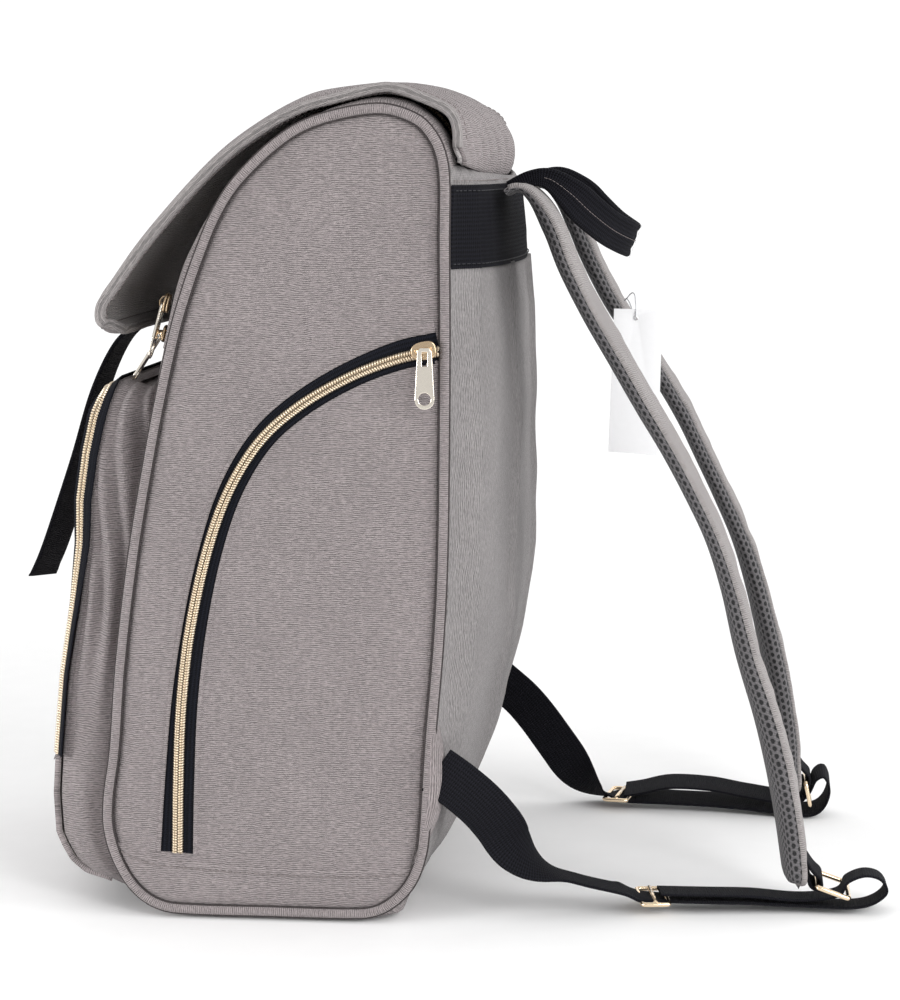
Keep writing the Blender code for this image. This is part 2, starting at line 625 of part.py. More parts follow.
def build_tab(side, s):
    """The folded cloth tab sewn into the lower rear seam that holds the adjuster webbing."""
    x0 = HALF_WIDTH + PIPING_RISE + GAP
    outline = [(0.0700, 0.1080), (0.0640, 0.0260), (0.0745, 0.0600), (0.0790, 0.0720), (0.0785, 0.0830)]
    xs = sorted((s * x0, s * (x0 + 0.0035)))
    plate("strap_tab_" + side, outline, xs[0], xs[1], "cloth")


def build_main_sliders():
    """Two sliders at the near front corner of the mouth, each with its pull."""
    x = MOUTH_HALF + 0.0043
    for name, pull, k, dx in (("main_slider_1", "main_pull_1", 0.0, 0.0), ("main_slider_2", "main_pull_2", 1.0, 0.0)):
        base = np.array(OUTLINE[MOUTH_FRONT]) + (np.array(OUTLINE[MOUTH_FRONT + 1]) -
                                                np.array(OUTLINE[MOUTH_FRONT])) * (0.11 + 0.462 * k)
        t = unit(np.array(OUTLINE[MOUTH_FRONT + 1]) - np.array(OUTLINE[MOUTH_FRONT]))
        n = np.array((-t[1], t[0]))
        if n[0] > 0:
            n = -n
        sx = x - 0.011 * (1 - k)
        c = base + n * (0.0023 + 0.0010 * k)
        half = 0.0040 if k else 0.0030
        rows = []
        for xx in (sx - 0.0030, sx + 0.0030):
            rows.append([(xx, *(c - t * half)), (xx, *(c + t * half)), (xx, *(c + t * half + n * 0.003)),
                         (xx, *(c - t * half + n * 0.003))])
        pivot = c + n * 0.0045
        sections(name, rows, "gold", False, (sx, *c))
        rows = []
        down = unit(np.array((-0.55, -0.835))) if k < 1 else unit(np.array((-0.27, -1.0)))
        m = np.array((down[1], -down[0]))
        top = c + n * 0.0048 + t * 0.001
        for xx, wide in ((sx - 0.0042, 1.0), (sx + 0.0042, 1.0)):
            rows.append([(xx, *(top)), (xx, *(top + down * 0.029)), (xx, *(top + down * 0.029 - m * 0.0014)),
                         (xx, *(top - m * 0.0014))])
        sections(pull, rows, "gold", False, (sx, *pivot))


def build_tag():
    """A blank card hanging from the left shoulder strap on a thin fastener."""
    x = -0.030
    card = [(0.1565, 0.2180), (0.1800, 0.2200), (0.1840, 0.2620), (0.1840, 0.2980), (0.1590, 0.2980)]
    plate("hang_tag", card, x - 0.0004, x + 0.0004, "card", (-0.0455, 0.1590, 0.3020))
    points = [np.array(p) for p in ((-0.0455, 0.1590, 0.3020), (-0.0380, 0.1640, 0.3060), (-0.0315, 0.1690, 0.3030),
                                    (-0.0300, 0.1700, 0.2990))]
    strip("tag_fastener", points, (0, 1, 0), 0.0006, 0.0012, "nylon", False, (-0.0455, 0.1590, 0.3020))


def main():
    clear_scene()
    build_body()
    build_side_zips()
    build_front_pocket()
    build_flap()
    build_handle()
    for side, s in (("R", 1.0), ("L", -1.0)):
        build_strap(side, s)
        build_glide(side, s)
        build_tab(side, s)
    build_main_sliders()
    build_tag()


main()
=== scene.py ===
import json
import math

import bmesh
import bpy
import numpy as np
from mathutils import Matrix, Vector, noise


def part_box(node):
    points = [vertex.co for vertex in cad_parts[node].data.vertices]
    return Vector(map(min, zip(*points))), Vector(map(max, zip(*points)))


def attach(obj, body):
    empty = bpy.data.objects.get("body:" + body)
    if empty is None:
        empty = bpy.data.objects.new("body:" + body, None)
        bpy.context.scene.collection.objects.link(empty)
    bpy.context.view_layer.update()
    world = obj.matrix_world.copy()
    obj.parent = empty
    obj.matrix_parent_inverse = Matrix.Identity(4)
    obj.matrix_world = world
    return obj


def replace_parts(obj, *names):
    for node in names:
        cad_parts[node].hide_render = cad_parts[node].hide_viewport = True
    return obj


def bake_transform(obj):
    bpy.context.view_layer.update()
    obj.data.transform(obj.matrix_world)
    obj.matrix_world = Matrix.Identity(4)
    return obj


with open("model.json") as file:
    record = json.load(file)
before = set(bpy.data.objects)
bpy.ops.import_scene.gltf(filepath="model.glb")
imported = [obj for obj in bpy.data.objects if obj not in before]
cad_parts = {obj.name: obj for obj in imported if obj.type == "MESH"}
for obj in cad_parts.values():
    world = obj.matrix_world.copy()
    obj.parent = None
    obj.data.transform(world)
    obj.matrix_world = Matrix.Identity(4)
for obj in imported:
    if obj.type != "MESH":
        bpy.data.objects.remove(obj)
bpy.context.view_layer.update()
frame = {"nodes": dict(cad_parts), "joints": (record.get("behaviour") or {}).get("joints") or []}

# ---------------------------------------------------------------- shapes shared with the CAD, in metres
# the body seen from the side (Y, Z), from the bottom forward, up the front, over the mouth and down the back
OUTLINE = np.array([
    (0.045, 0.0), (-0.05, 0.0), (-0.068, 0.004), (-0.08, 0.013), (-0.09, 0.027), (-0.095, 0.05),
    (-0.0925, 0.077), (-0.087, 0.122), (-0.081, 0.17), (-0.0757, 0.211), (-0.0705, 0.24),
    (-0.066, 0.272), (-0.0634, 0.2865), (-0.055, 0.321), (-0.046, 0.341), (-0.036, 0.357),
    (-0.023, 0.373), (-0.009, 0.387), (0.005, 0.396), (0.019, 0.403), (0.033, 0.4075),
    (0.046, 0.4095), (0.058, 0.408), (0.067, 0.4035), (0.075, 0.3965), (0.081, 0.386),
    (0.083, 0.373), (0.0812, 0.335), (0.0812, 0.273), (0.0808, 0.213), (0.08, 0.166),
    (0.0765, 0.118), (0.073, 0.064), (0.07, 0.04), (0.064, 0.02), (0.056, 0.007)])
# centre line of the piping round a side panel (Y, Z)
PIPE = [(0.045, 0.4035), (0.0165, 0.398), (-0.003, 0.3875), (-0.023, 0.3688), (-0.0343, 0.3517),
        (-0.0426, 0.3324), (-0.0494, 0.3136), (-0.0551, 0.2948), (-0.0626, 0.263), (-0.0697, 0.228),
        (-0.0779, 0.182), (-0.0849, 0.129), (-0.0886, 0.0855), (-0.0922, 0.06), (-0.0922, 0.043),
        (-0.087, 0.026), (-0.078, 0.0125), (-0.066, 0.005), (-0.05, 0.0032), (-0.01, 0.0032),
        (0.026, 0.0032), (0.042, 0.0045), (0.053, 0.0105), (0.0615, 0.0205), (0.0665, 0.034), (0.0685, 0.05),
        (0.071, 0.09), (0.0752, 0.14), (0.0774, 0.185), (0.0783, 0.25), (0.0785, 0.3),
        (0.0783, 0.34), (0.0785, 0.366), (0.077, 0.38), (0.0725, 0.3905), (0.0635, 0.399)]
# the curved zip on each side, from the back seam round to its lower end (Y, Z)
SIDE_ZIP = [(0.0755, 0.2882), (0.0565, 0.2844), (0.0318, 0.2744), (0.007, 0.2595), (-0.0121, 0.242),
            (-0.0273, 0.2169), (-0.0377, 0.1868), (-0.0457, 0.1514), (-0.0518, 0.1107), (-0.0549, 0.0697),
            (-0.0569, 0.033)]
# front edge of the pocket's wall (Z, Y)
FACE_EDGE = [(0.012, -0.094), (0.016, -0.1075), (0.022, -0.115), (0.03, -0.1195), (0.037, -0.1225),
             (0.0576, -0.1235), (0.08, -0.122), (0.1185, -0.1185), (0.156, -0.1125), (0.1865, -0.1085),
             (0.209, -0.108), (0.2325, -0.1045), (0.252, -0.1), (0.264, -0.095)]
# the flap's line from the rear seam to its front, and its closure strap's (Y, Z)
FLAP = [(0.0885, 0.3765), (0.0903, 0.3825), (0.089, 0.3905), (0.0845, 0.3985), (0.077, 0.4055), (0.069, 0.4105),
        (0.0577, 0.415), (0.0445, 0.4168), (0.0163, 0.4139), (-0.0006, 0.4081), (-0.0169, 0.3991), (-0.0333, 0.3875),
        (-0.0495, 0.3726), (-0.0655, 0.3552), (-0.0815, 0.336), (-0.0929, 0.3201), (-0.0997, 0.3095),
        (-0.1005, 0.299), (-0.0962, 0.2925), (-0.088, 0.2915)]
FLAP_STRAP = [(-0.09, 0.293), (-0.1005, 0.2905), (-0.1125, 0.28), (-0.1245, 0.255), (-0.1352, 0.218),
              (-0.1465, 0.183), (-0.153, 0.165), (-0.1592, 0.1515)]
# the two shoulder straps' centre lines (Y, Z), from the root down: they hang a little differently
STRAP_LINE = {
    "R": [(0.104, 0.363), (0.1085, 0.365), (0.114, 0.364), (0.121, 0.357), (0.1285, 0.344), (0.1362, 0.325),
          (0.1482, 0.302), (0.1612, 0.28), (0.1747, 0.257), (0.1882, 0.235), (0.2002, 0.213), (0.2112, 0.19),
          (0.22, 0.164), (0.228, 0.133), (0.2385, 0.1), (0.2455, 0.072), (0.2505, 0.047), (0.2535, 0.025),
          (0.255, 0.0125)],
    "L": [(0.104, 0.363), (0.1095, 0.3655), (0.1165, 0.364), (0.1245, 0.356), (0.131, 0.344), (0.139, 0.325),
          (0.1508, 0.302), (0.165, 0.28), (0.18, 0.257), (0.1928, 0.235), (0.2034, 0.213), (0.2142, 0.19),
          (0.2255, 0.164), (0.2352, 0.133), (0.2432, 0.1), (0.249, 0.072), (0.252, 0.047), (0.254, 0.025),
          (0.255, 0.0125)]}
# how far the padded back stands out at each height
BACK_BULGE = [(0.0, 0.0), (0.007, 0.0), (0.02, 0.003), (0.043, 0.009), (0.08, 0.0185), (0.12, 0.0262),
              (0.15, 0.0285), (0.175, 0.0285), (0.25, 0.0287), (0.3, 0.027), (0.34, 0.0238), (0.366, 0.0195),
              (0.3715, 0.0155), (0.378, 0.005)]
# X of each strap's lower end, and how much higher the far webbing arches
STRAP_FLOOR_X = {"R": 0.085, "L": 0.115}
FAR_ARCH = {"R": 0.0, "L": 0.006}
# lower webbing from the corner tab to its glide (distance out, Y, Z), and where it rolls flat along its length
WEB_RUN = {"R": [(0.1345, 0.074, 0.078), (0.1335, 0.085, 0.07), (0.131, 0.096, 0.06),
                 (0.127, 0.1045, 0.049), (0.1215, 0.113, 0.035), (0.115, 0.126, 0.024),
                 (0.108, 0.145, 0.0165), (0.101, 0.164, 0.0105), (0.095, 0.178, 0.0052)],
           "L": [(0.1345, 0.074, 0.078), (0.134, 0.085, 0.069), (0.132, 0.096, 0.06),
                 (0.13, 0.106, 0.049), (0.1285, 0.118, 0.033), (0.127, 0.13, 0.017),
                 (0.1255, 0.142, 0.0075), (0.1245, 0.152, 0.005), (0.124, 0.18, 0.0044)]}
ROLL = {"R": (0.038, 0.092), "L": (0.07, 0.12)}
# where the webbing turns back through the strap's ring
FOLD = {"R": [(0.256, 0.0018), (0.28, 0.0014), (0.292, 0.0038), (0.299, 0.01), (0.296, 0.0165),
              (0.288, 0.0182), (0.2795, 0.0145), (0.2745, 0.0075), (0.256, 0.0046)],
        "L": [(0.254, 0.0018), (0.267, 0.0016), (0.274, 0.0066), (0.277, 0.016), (0.2742, 0.024),
              (0.2692, 0.0222), (0.2648, 0.014), (0.256, 0.0084)]}
# the pad's end, and the ring's upper and lower bars (Y, Z)
STRAP_END = {"R": ((0.252, 0.034), (0.264, 0.014), (0.28, 0.0085)),
             "L": ((0.2535, 0.038), (0.2632, 0.0205), (0.266, 0.007))}
WEB_WIDE = 0.025
GLIDE_Y = {"R": 0.178, "L": 0.152}
HALF = 0.135  # half the body's width, at the piping
BODY_CENTRE = (0.0, 0.2)
SEAM_X = 0.1335  # front, bottom and mouth strips go into the piping's seam here
GUSSET_X = 0.1175  # inner edge of the strips beside the mouth
MAIN_ZIP_X = 0.1083  # centre line of the main zip's two sides
PANEL_X = 0.0985  # side edge of the zipped top panel
SHELL = 0.003  # cloth with its padding
X = Vector((1, 0, 0))
SIDES = (("R", 1.0), ("L", -1.0))


# ---------------------------------------------------------------- geometry helpers
def unit(v):
    v = np.asarray(v, float)
    return v / np.maximum(np.linalg.norm(v, axis=-1, keepdims=True), 1e-12)


def curve(points, count, closed=False):
    """Catmull-Rom through the points, resampled evenly."""
    p = np.asarray(points, float)
    n = len(p)
    if closed:
        ext = np.vstack([p[-1], p, p[0], p[1]])
    else:
        ext = np.vstack([2 * p[0] - p[1], p, 2 * p[-1] - p[-2]])
    out = []
    for i in range(n if closed else n - 1):
        a, b, c, d = ext[i:i + 4]
        for t in np.linspace(0, 1, 24, endpoint=False):
            out.append(0.5 * (2 * b + (c - a) * t + (2 * a - 5 * b + 4 * c - d) * t * t
                              + (3 * b - a - 3 * c + d) * t ** 3))
    out.append(out[0] if closed else p[-1])
    out = np.array(out)
    s = lengths(out)
    return lerp(np.linspace(0, s[-1], count + 1 if closed else count)[:count], s, out)


def lengths(p):
    """Distance along a path at each of its points."""
    return np.r_[0, np.cumsum(np.linalg.norm(np.diff(np.asarray(p), axis=0), axis=1))]


def tangents(line):
    return unit(np.gradient(line, axis=0))


def lerp(at, s, p):
    """Points at the given distances, where s holds the distance of each row of p."""
    return np.stack([np.interp(at, s, p[:, k]) for k in range(p.shape[1])], -1)


def normals(line, centre=None):
    """Normals of a line in its own plane, turned away from centre where one is given."""
    t = tangents(line)
    n = np.stack([t[:, 1], -t[:, 0]], 1)
    if centre is not None:
        n *= np.where((n * (line - centre)).sum(1) < 0, -1, 1)[:, None]
    return n


def smoothstep(a, b, v):
    t = np.clip((v - a) / (b - a), 0, 1)
    return t * t * (3 - 2 * t)


def wob(x, y, z=0.0, scale=1.0, seed=0.0):
    """Smooth noise between -1 and 1 for folds and waves; the same at each run."""
    return noise.noise(Vector((x * scale + seed, y * scale - seed, z * scale + 2.7 * seed)))


def new_mesh(name, verts, faces, uvs=None, mats=(), colour=None):
    me = bpy.data.meshes.new(name)
    me.from_pydata([tuple(map(float, v)) for v in verts], [], faces)
    if uvs is not None:
        layer = me.uv_layers.new(name="UVMap")
        loops = np.zeros(len(me.loops), np.int32)
        me.loops.foreach_get("vertex_index", loops)
        layer.data.foreach_set("uv", np.asarray(uvs, np.float32)[loops].ravel())
    if colour is not None:
        a = me.attributes.new("shade", "FLOAT", "POINT")
        a.data.foreach_set("value", np.asarray(colour, np.float32))
    for m in mats:
        me.materials.append(m)
    obj = bpy.data.objects.new(name, me)
    bpy.context.scene.collection.objects.link(obj)
    me.shade_smooth()
    return obj


def outward(obj, centre=None):
    bm = bmesh.new()
    bm.from_mesh(obj.data)
    bmesh.ops.recalc_face_normals(bm, faces=bm.faces)
    if centre is not None:
        out = sum((f.calc_center_median() - Vector(centre)).dot(f.normal) * f.calc_area() for f in bm.faces)
        if out < 0:
            bmesh.ops.reverse_faces(bm, faces=bm.faces)
    bm.to_mesh(obj.data)
    bm.free()
    return obj


def grid(name, pts, mats, uv=None, swap=False, colour=None):
    """A sheet through rows x columns of points; UVs in metres unless given."""
    pts = np.asarray(pts, float)
    r, c = pts.shape[:2]
    if uv is None:
        v = np.mean([lengths(pts[:, j]) for j in range(c)], axis=0)
        u = np.mean([lengths(pts[i]) for i in range(r)], axis=0)
        uu, vv = np.meshgrid(u, v)
        uv = np.stack([vv, uu] if swap else [uu, vv], -1)
    faces = []
    for i in range(r - 1):
        for j in range(i * c, i * c + c - 1):
            faces.append((j, j + 1, j + 1 + c, j + c))
    return new_mesh(name, pts.reshape(-1, 3), faces, np.asarray(uv).reshape(-1, 2), mats, colour)


def thick(obj, t, offset=-1.0, second=False):
    """Gives a sheet its thickness; second puts the object's second material on the inside."""
    m = obj.modifiers.new("thick", "SOLIDIFY")
    m.thickness = t
    m.offset = offset
    m.use_rim = True
    m.use_even_offset = False
    if second:
        m.material_offset = 1
        m.material_offset_rim = 0
    return obj


def bake(obj):
    """Applies the modifiers."""
    bpy.context.view_layer.update()
    dg = bpy.context.evaluated_depsgraph_get()
    me = bpy.data.meshes.new_from_object(obj.evaluated_get(dg))
    obj.modifiers.clear()
    obj.data = me
    return obj


def frames(path, across, closed=False):
    """Tangent, width and normal directions along a path."""
    p = np.asarray(path, float)
    if closed:
        t = unit(np.roll(p, -1, 0) - np.roll(p, 1, 0))
    else:
        t = tangents(p)
    w = np.broadcast_to(np.asarray(across, float), p.shape).copy()
    w = unit(w - t * (w * t).sum(1, keepdims=True))
    return t, w, np.cross(t, w)


def sweep(name, path, across, section, mats, closed=False, size=None, swap=False):
    """A closed section of (width, normal) pairs run along a path; size scales both at each point."""
    p = np.asarray(path, float)
    _, w, n = frames(p, across, closed)
    sec = np.asarray(section, float)
    if closed:
        p, w, n = (np.vstack([a, a[:1]]) for a in (p, w, n))
    if size is None:
        size = np.ones((len(p), 2))
    m = len(sec)
    verts = (p[:, None] + w[:, None] * (sec[None, :, 0] * size[:, None, 0])[..., None]
             + n[:, None] * (sec[None, :, 1] * size[:, None, 1])[..., None])
    around = lengths(np.vstack([sec, sec[:1]]))[:m]
    along = lengths(p)
    uu, vv = np.meshgrid(around, along)
    uv = np.stack([vv, uu] if swap else [uu, vv], -1).reshape(-1, 2)
    faces = []
    rows = len(p)
    for i in range(rows - 1):
        a, b = i * m, (i + 1) * m
        for j in range(m):
            k = (j + 1) % m
            faces.append((a + j, a + k, b + k, b + j))
    if not closed:
        faces += [tuple(range(m))[::-1], tuple(range((rows - 1) * m, rows * m))]
    return outward(new_mesh(name, verts.reshape(-1, 3), faces, uv, mats))


def oval(w, h, n=16, power=2.0):
    """A rounded section w wide and h thick; a high power gives a flat strip with round edges."""
    out = []
    for k in range(n):
        a = 2 * math.pi * (k + 0.5) / n
        c, s = math.cos(a), math.sin(a)
        out.append((math.copysign(abs(c) ** (2 / power), c) * w / 2,
                    math.copysign(abs(s) ** (2 / power), s) * h / 2))
    return out


def flat(w, h):
    """Section of woven webbing: flat faces, thin round edges."""
    e = h / 2
    xs = np.linspace(-w / 2 + e, w / 2 - e, 7)
    top = [(x, e) for x in xs[::-1]]
    low = [(x, -e) for x in xs]
    return [(w / 2 - e * 0.3, e * 0.7), *top, (-w / 2 + e * 0.3, e * 0.7), (-w / 2, 0),
            (-w / 2 + e * 0.3, -e * 0.7), *low, (w / 2 - e * 0.3, -e * 0.7), (w / 2, 0)]


def join(name, objs):
    """One object from several, keeping their materials."""
    base = objs[0]
    bm = bmesh.new()
    mats = []
    for o in objs:
        src = bake(o).data
        src.transform(o.matrix_world)
        index = []
        for m in src.materials:
            if m not in mats:
                mats.append(m)
            index.append(mats.index(m))
        for p in src.polygons:
            p.material_index = index[p.material_index] if index else 0
        bm.from_mesh(src)
    me = bpy.data.meshes.new(name)
    bm.to_mesh(me)
    bm.free()
    for m in mats:
        me.materials.append(m)
    for o in objs[1:]:
        bpy.data.objects.remove(o)
    base.data = me
    base.matrix_world = Matrix.Identity(4)
    base.name = name
    return base


def stitches(name, path, normal, mat, pitch=0.0032, size=0.0022, r=0.00034, sink=0.0):
    """A row of sewn stitches along a path; normal is the cloth's outward direction there."""
    p = np.asarray(path, float)
    s = lengths(p)
    total = s[-1]
    count = max(int(total / pitch), 2)
    even = curve(p, count) if len(p) > 2 else np.linspace(p[0], p[-1], count)
    nn = np.broadcast_to(np.asarray(normal, float), p.shape)
    at = np.linspace(0, total, count)
    nrm = unit(lerp(at, s, nn))
    t = tangents(even)
    verts, faces = [], []
    for q, tt, n in zip(even, t, nrm):
        w = np.cross(n, tt)
        c = q + n * (r * 0.4 - sink)
        b = len(verts)
        for along, rr in ((-0.5, 0.25), (-0.32, 1.0), (0.32, 1.0), (0.5, 0.25)):
            for k in range(4):
                a = math.pi * (k + 0.5) / 2
                verts.append(c + tt * along * size + (w * math.cos(a) + n * math.sin(a)) * r * rr)
        for i in range(3):
            for k in range(4):
                j = (k + 1) % 4
                faces.append((b + i * 4 + k, b + i * 4 + j, b + i * 4 + 4 + j, b + i * 4 + 4 + k))
        faces += [(b + 3, b + 2, b + 1, b), (b + 12, b + 13, b + 14, b + 15)]
    return outward(new_mesh(name, verts, faces, None, [mat]))


# ---------------------------------------------------------------- materials
class Mat:
    def __init__(self, name, colour=(0.5, 0.5, 0.5), rough=0.8, metal=0.0, **sockets):
        self.m = bpy.data.materials.new(name)
        self.m.use_nodes = True
        self.t = self.m.node_tree
        self.b = self.t.nodes["Principled BSDF"]
        self.b.inputs["Base Color"].default_value = (*colour, 1)
        self.b.inputs["Roughness"].default_value = rough
        self.b.inputs["Metallic"].default_value = metal
        for k, v in sockets.items():
            self.b.inputs[k.replace("_", " ")].default_value = v
        self.uv = self.n("UVMap").outputs[0]
        sep = self.n("SeparateXYZ", {0: self.uv})
        self.u, self.v = sep.outputs[0], sep.outputs[1]

    def n(self, kind, ins=None, **props):
        node = self.t.nodes.new("ShaderNode" + kind)
        for k, v in props.items():
            setattr(node, k, v)
        for k, v in (ins or {}).items():
            if isinstance(v, bpy.types.NodeSocket):
                self.t.links.new(v, node.inputs[k])
            else:
                node.inputs[k].default_value = v
        return node

    def f(self, op, *args):
        return self.n("Math", dict(enumerate(args)), operation=op).outputs[0]

    def add(self, a, b):
        return self.f("ADD", a, b)

    def sub(self, a, b):
        return self.f("SUBTRACT", a, b)

    def mul(self, a, b):
        return self.f("MULTIPLY", a, b)

    def vec(self, x, y, z=0.0):
        return self.n("CombineXYZ", {0: x, 1: y, 2: z}).outputs[0]

    def noise(self, su, sv, detail=2.0, rough=0.5, where=None):
        """Noise stretched by its own scale along u and v, in features per metre."""
        if where is None:
            where = self.vec(self.f("MULTIPLY", self.u, su), self.f("MULTIPLY", self.v, sv))
        return self.n("TexNoise", {"Vector": where, "Scale": 1.0, "Detail": detail, "Roughness": rough}).outputs[0]

    def wave(self, coord, period, phase=0.0):
        return self.f("SINE", self.f("MULTIPLY_ADD", coord, 2 * math.pi / period, phase))

    def mix(self, fac, a, b):
        a, b = (c if isinstance(c, bpy.types.NodeSocket) else (*c, 1) for c in (a, b))
        return self.n("Mix", {0: fac, 6: a, 7: b}, data_type="RGBA").outputs[2]

    def ramp(self, value, lo, hi):
        return self.n("MapRange", {0: value, 1: lo, 2: hi}, interpolation_type="SMOOTHSTEP").outputs[0]

    def colour(self, socket):
        self.t.links.new(socket, self.b.inputs["Base Color"])

    def bump(self, height, distance, strength=1.0):
        node = self.n("Bump", {"Height": height, "Distance": distance, "Strength": strength})
        self.t.links.new(node.outputs[0], self.b.inputs["Normal"])


def tone(colour, k):
    """The colour, k times as bright."""
    return tuple(c * k for c in colour)


def cloth(name, colour, rib=0.001, contrast=1.0, depth=0.00035, wavy=1.0):
    """Woven polyester: slubby ribs along u, one every rib metres, over a fine cross thread."""
    g = Mat(name, colour, 0.86, Sheen_Weight=0.12, Sheen_Roughness=0.6)
    drift = g.sub(g.noise(55, 26, 1.5), 0.5)
    fine = g.sub(g.noise(170, 380, 2.0), 0.5)
    phase = g.add(g.mul(drift, 26.0 * wavy), g.mul(fine, 5.5 * wavy))
    ribs = g.mul(g.wave(g.v, rib, phase), g.ramp(g.noise(240, 520, 2.0), 0.3, 0.62))
    cross = g.wave(g.u, 0.00062, g.mul(drift, 20.0))
    slub = g.sub(g.noise(330, 2300, 3.0, 0.62), 0.5)
    broad = g.sub(g.noise(22, 22, 3.0), 0.5)
    h = g.add(g.mul(ribs, 0.62), g.mul(cross, 0.2))
    h = g.add(h, g.mul(slub, 2.2))
    fac = g.f("MULTIPLY_ADD", h, 1.05 * contrast, 0.5)
    fac = g.add(fac, g.mul(broad, 0.35))
    g.colour(g.mix(g.n("Clamp", {0: fac}).outputs[0], tone(colour, 0.46), tone(colour, 1.54)))
    g.bump(h, depth, 1.0)
    return g.m


def webbing(name, colour=(0.0042, 0.0042, 0.0062), rib=0.00125, depth=0.0004):
    """Tight black webbing: ribs across its length with a fine lengthwise twill."""
    g = Mat(name, colour, 0.85, Specular_IOR_Level=0.14)
    ribs = g.wave(g.v, rib, g.mul(g.noise(60, 60, 1.0), 2.0))
    side = g.wave(g.u, 0.0021, g.mul(ribs, 0.9))
    fuzz = g.noise(1500, 1500, 3.0, 0.7)
    h = g.add(g.mul(ribs, 0.5), g.mul(side, 0.45))
    h = g.add(h, g.mul(fuzz, 1.0))
    g.colour(g.mix(g.ramp(h, -0.6, 1.8), tone(colour, 0.35), tone(colour, 2.8)))
    g.bump(h, depth, 0.9)
    return g.m


def air_mesh(name):
    """Spacer mesh: staggered oval holes in dark grey knit, with painted shade in the holes."""
    g = Mat(name, (0.1, 0.1, 0.1), 0.8, Sheen_Weight=0.1)
    across, along = 0.0027, 0.004
    row = g.f("FLOOR", g.f("DIVIDE", g.u, across))
    shift = g.mul(g.f("MODULO", row, 2.0), 0.5)
    a = g.sub(g.f("FRACT", g.f("DIVIDE", g.u, across)), 0.5)
    b = g.sub(g.f("FRACT", g.add(g.f("DIVIDE", g.v, along), shift)), 0.5)
    d = g.f("SQRT", g.add(g.mul(a, a), g.mul(b, b)))
    d = g.add(d, g.mul(g.sub(g.noise(1100, 1100, 2.0), 0.5), 0.16))
    rim = g.ramp(d, 0.27, 0.42)
    knit = g.f("MULTIPLY_ADD", g.wave(g.v, 0.0008), 0.25, g.noise(2100, 2100, 2.0, 0.7))
    thread = g.mix(knit, (0.035, 0.033, 0.036), (0.2, 0.188, 0.195))
    # painted shade: the holes take a near-black colour for the shade inside them
    g.colour(g.mix(rim, (0.004, 0.004, 0.005), thread))
    g.bump(g.add(rim, g.mul(knit, 0.35)), 0.0011, 1.0)
    return g.m


def metal(name, colour, rough):
    g = Mat(name, colour, rough, 1.0)
    co = g.n("TexCoord").outputs["Object"]
    spots = g.n("TexNoise", {"Vector": co, "Scale": 900.0, "Detail": 3.0}).outputs[0]
    g.t.links.new(g.n("MapRange", {0: spots, 3: rough * 0.7, 4: rough * 1.4}).outputs[0],
                  g.b.inputs["Roughness"])
    g.colour(g.mix(spots, tone(colour, 0.92), colour))
    g.bump(spots, 0.00004, 0.4)
    return g.m


def coil_metal(name):
    """Metallised zip coil: pale gold turns, with painted shade between them."""
    g = Mat(name, (0.8, 0.66, 0.44), 0.34, 1.0)
    shade = g.n("Attribute", attribute_name="shade").outputs["Fac"]
    # painted shade: the near-black end of this mix darkens the gaps between turns
    gold_with_painted_shade = g.mix(g.ramp(shade, 0.15, 0.62), (0.075, 0.055, 0.038), (0.68, 0.575, 0.44))
    g.colour(gold_with_painted_shade)
    return g.m


def plain(name, colour, rough=0.8, grain=600.0, amount=0.12, depth=0.0001, **sockets):
    g = Mat(name, colour, rough, **sockets)
    co = g.n("TexCoord").outputs["Object"]
    v = g.n("TexNoise", {"Vector": co, "Scale": grain, "Detail": 3.0}).outputs[0]
    g.colour(g.mix(v, tone(colour, 1 - amount), tone(colour, 1 + amount)))
    g.bump(v, depth, 0.5)
    return g.m


GREY = (0.25, 0.218, 0.219)
CLOTH = cloth("cloth_side", GREY)
CLOTH_PIPE = cloth("cloth_piping", tone(GREY, 1.02), contrast=0.9, wavy=0.15)
CLOTH_BACK = cloth("cloth_back", (0.246, 0.23, 0.23), contrast=0.75)
CLOTH_TWILL = cloth("cloth_twill", tone(GREY, 0.98), rib=0.0012, contrast=0.9)
# painted light: the flap's underside gets a lighter copy of the grey cloth, standing in for bounce light under the
# flap
CLOTH_UNDER_PAINTED_LIGHT = cloth("cloth_flap_lining_painted_light", (0.43, 0.4, 0.395), contrast=0.5)
CLOTH_STRAP = cloth("cloth_strap", (0.3, 0.276, 0.272), contrast=0.6)
LINING = cloth("lining_cloth", (0.5, 0.465, 0.43), rib=0.0007, contrast=0.5, depth=0.0002)
BLACK = webbing("black_web")
TAPE = webbing("zip_tape_weave", (0.0035, 0.004, 0.0065), rib=0.0009, depth=0.0002)
MESH = air_mesh("air_mesh_knit")
GOLD = metal("champagne_gold", (1.0, 0.93, 0.82), 0.13)
BRONZE = metal("slider_gold", (0.66, 0.5, 0.33), 0.24)
RING = metal("ring_gold", (0.94, 0.76, 0.54), 0.17)
COIL = coil_metal("coil_gold")
THREAD = plain("grey_thread", (0.2, 0.172, 0.168), 0.7, 3000)
THREAD_SOFT = plain("cloth_thread", tone(GREY, 0.8), 0.8, 3000)
# near-black seam lines: partly dark thread, partly painted shade of the groove beside the piping
SEAM_THREAD_AND_SHADE = plain("seam_thread_and_painted_shade", (0.035, 0.028, 0.028), 0.8, 3000)
THREAD_BLACK = plain("black_thread", (0.02, 0.02, 0.024), 0.6, 3000)
CARD = plain("tag_card", (0.86, 0.86, 0.87), 0.55, 300, 0.02, 0.00002)
NYLON = plain("tag_nylon", (0.75, 0.76, 0.78), 0.3, 300, 0.02, Transmission_Weight=0.5)
BOARD = plain("board_black", (0.05, 0.048, 0.05), 0.7)


# ---------------------------------------------------------------- bag body
PIPE_RING = curve(PIPE, 320, closed=True)


def to_pipe(y, z):
    """Distance in the side plane from a point to the piping's centre line."""
    return float(np.sqrt(((PIPE_RING - (y, z)) ** 2).sum(1).min()))


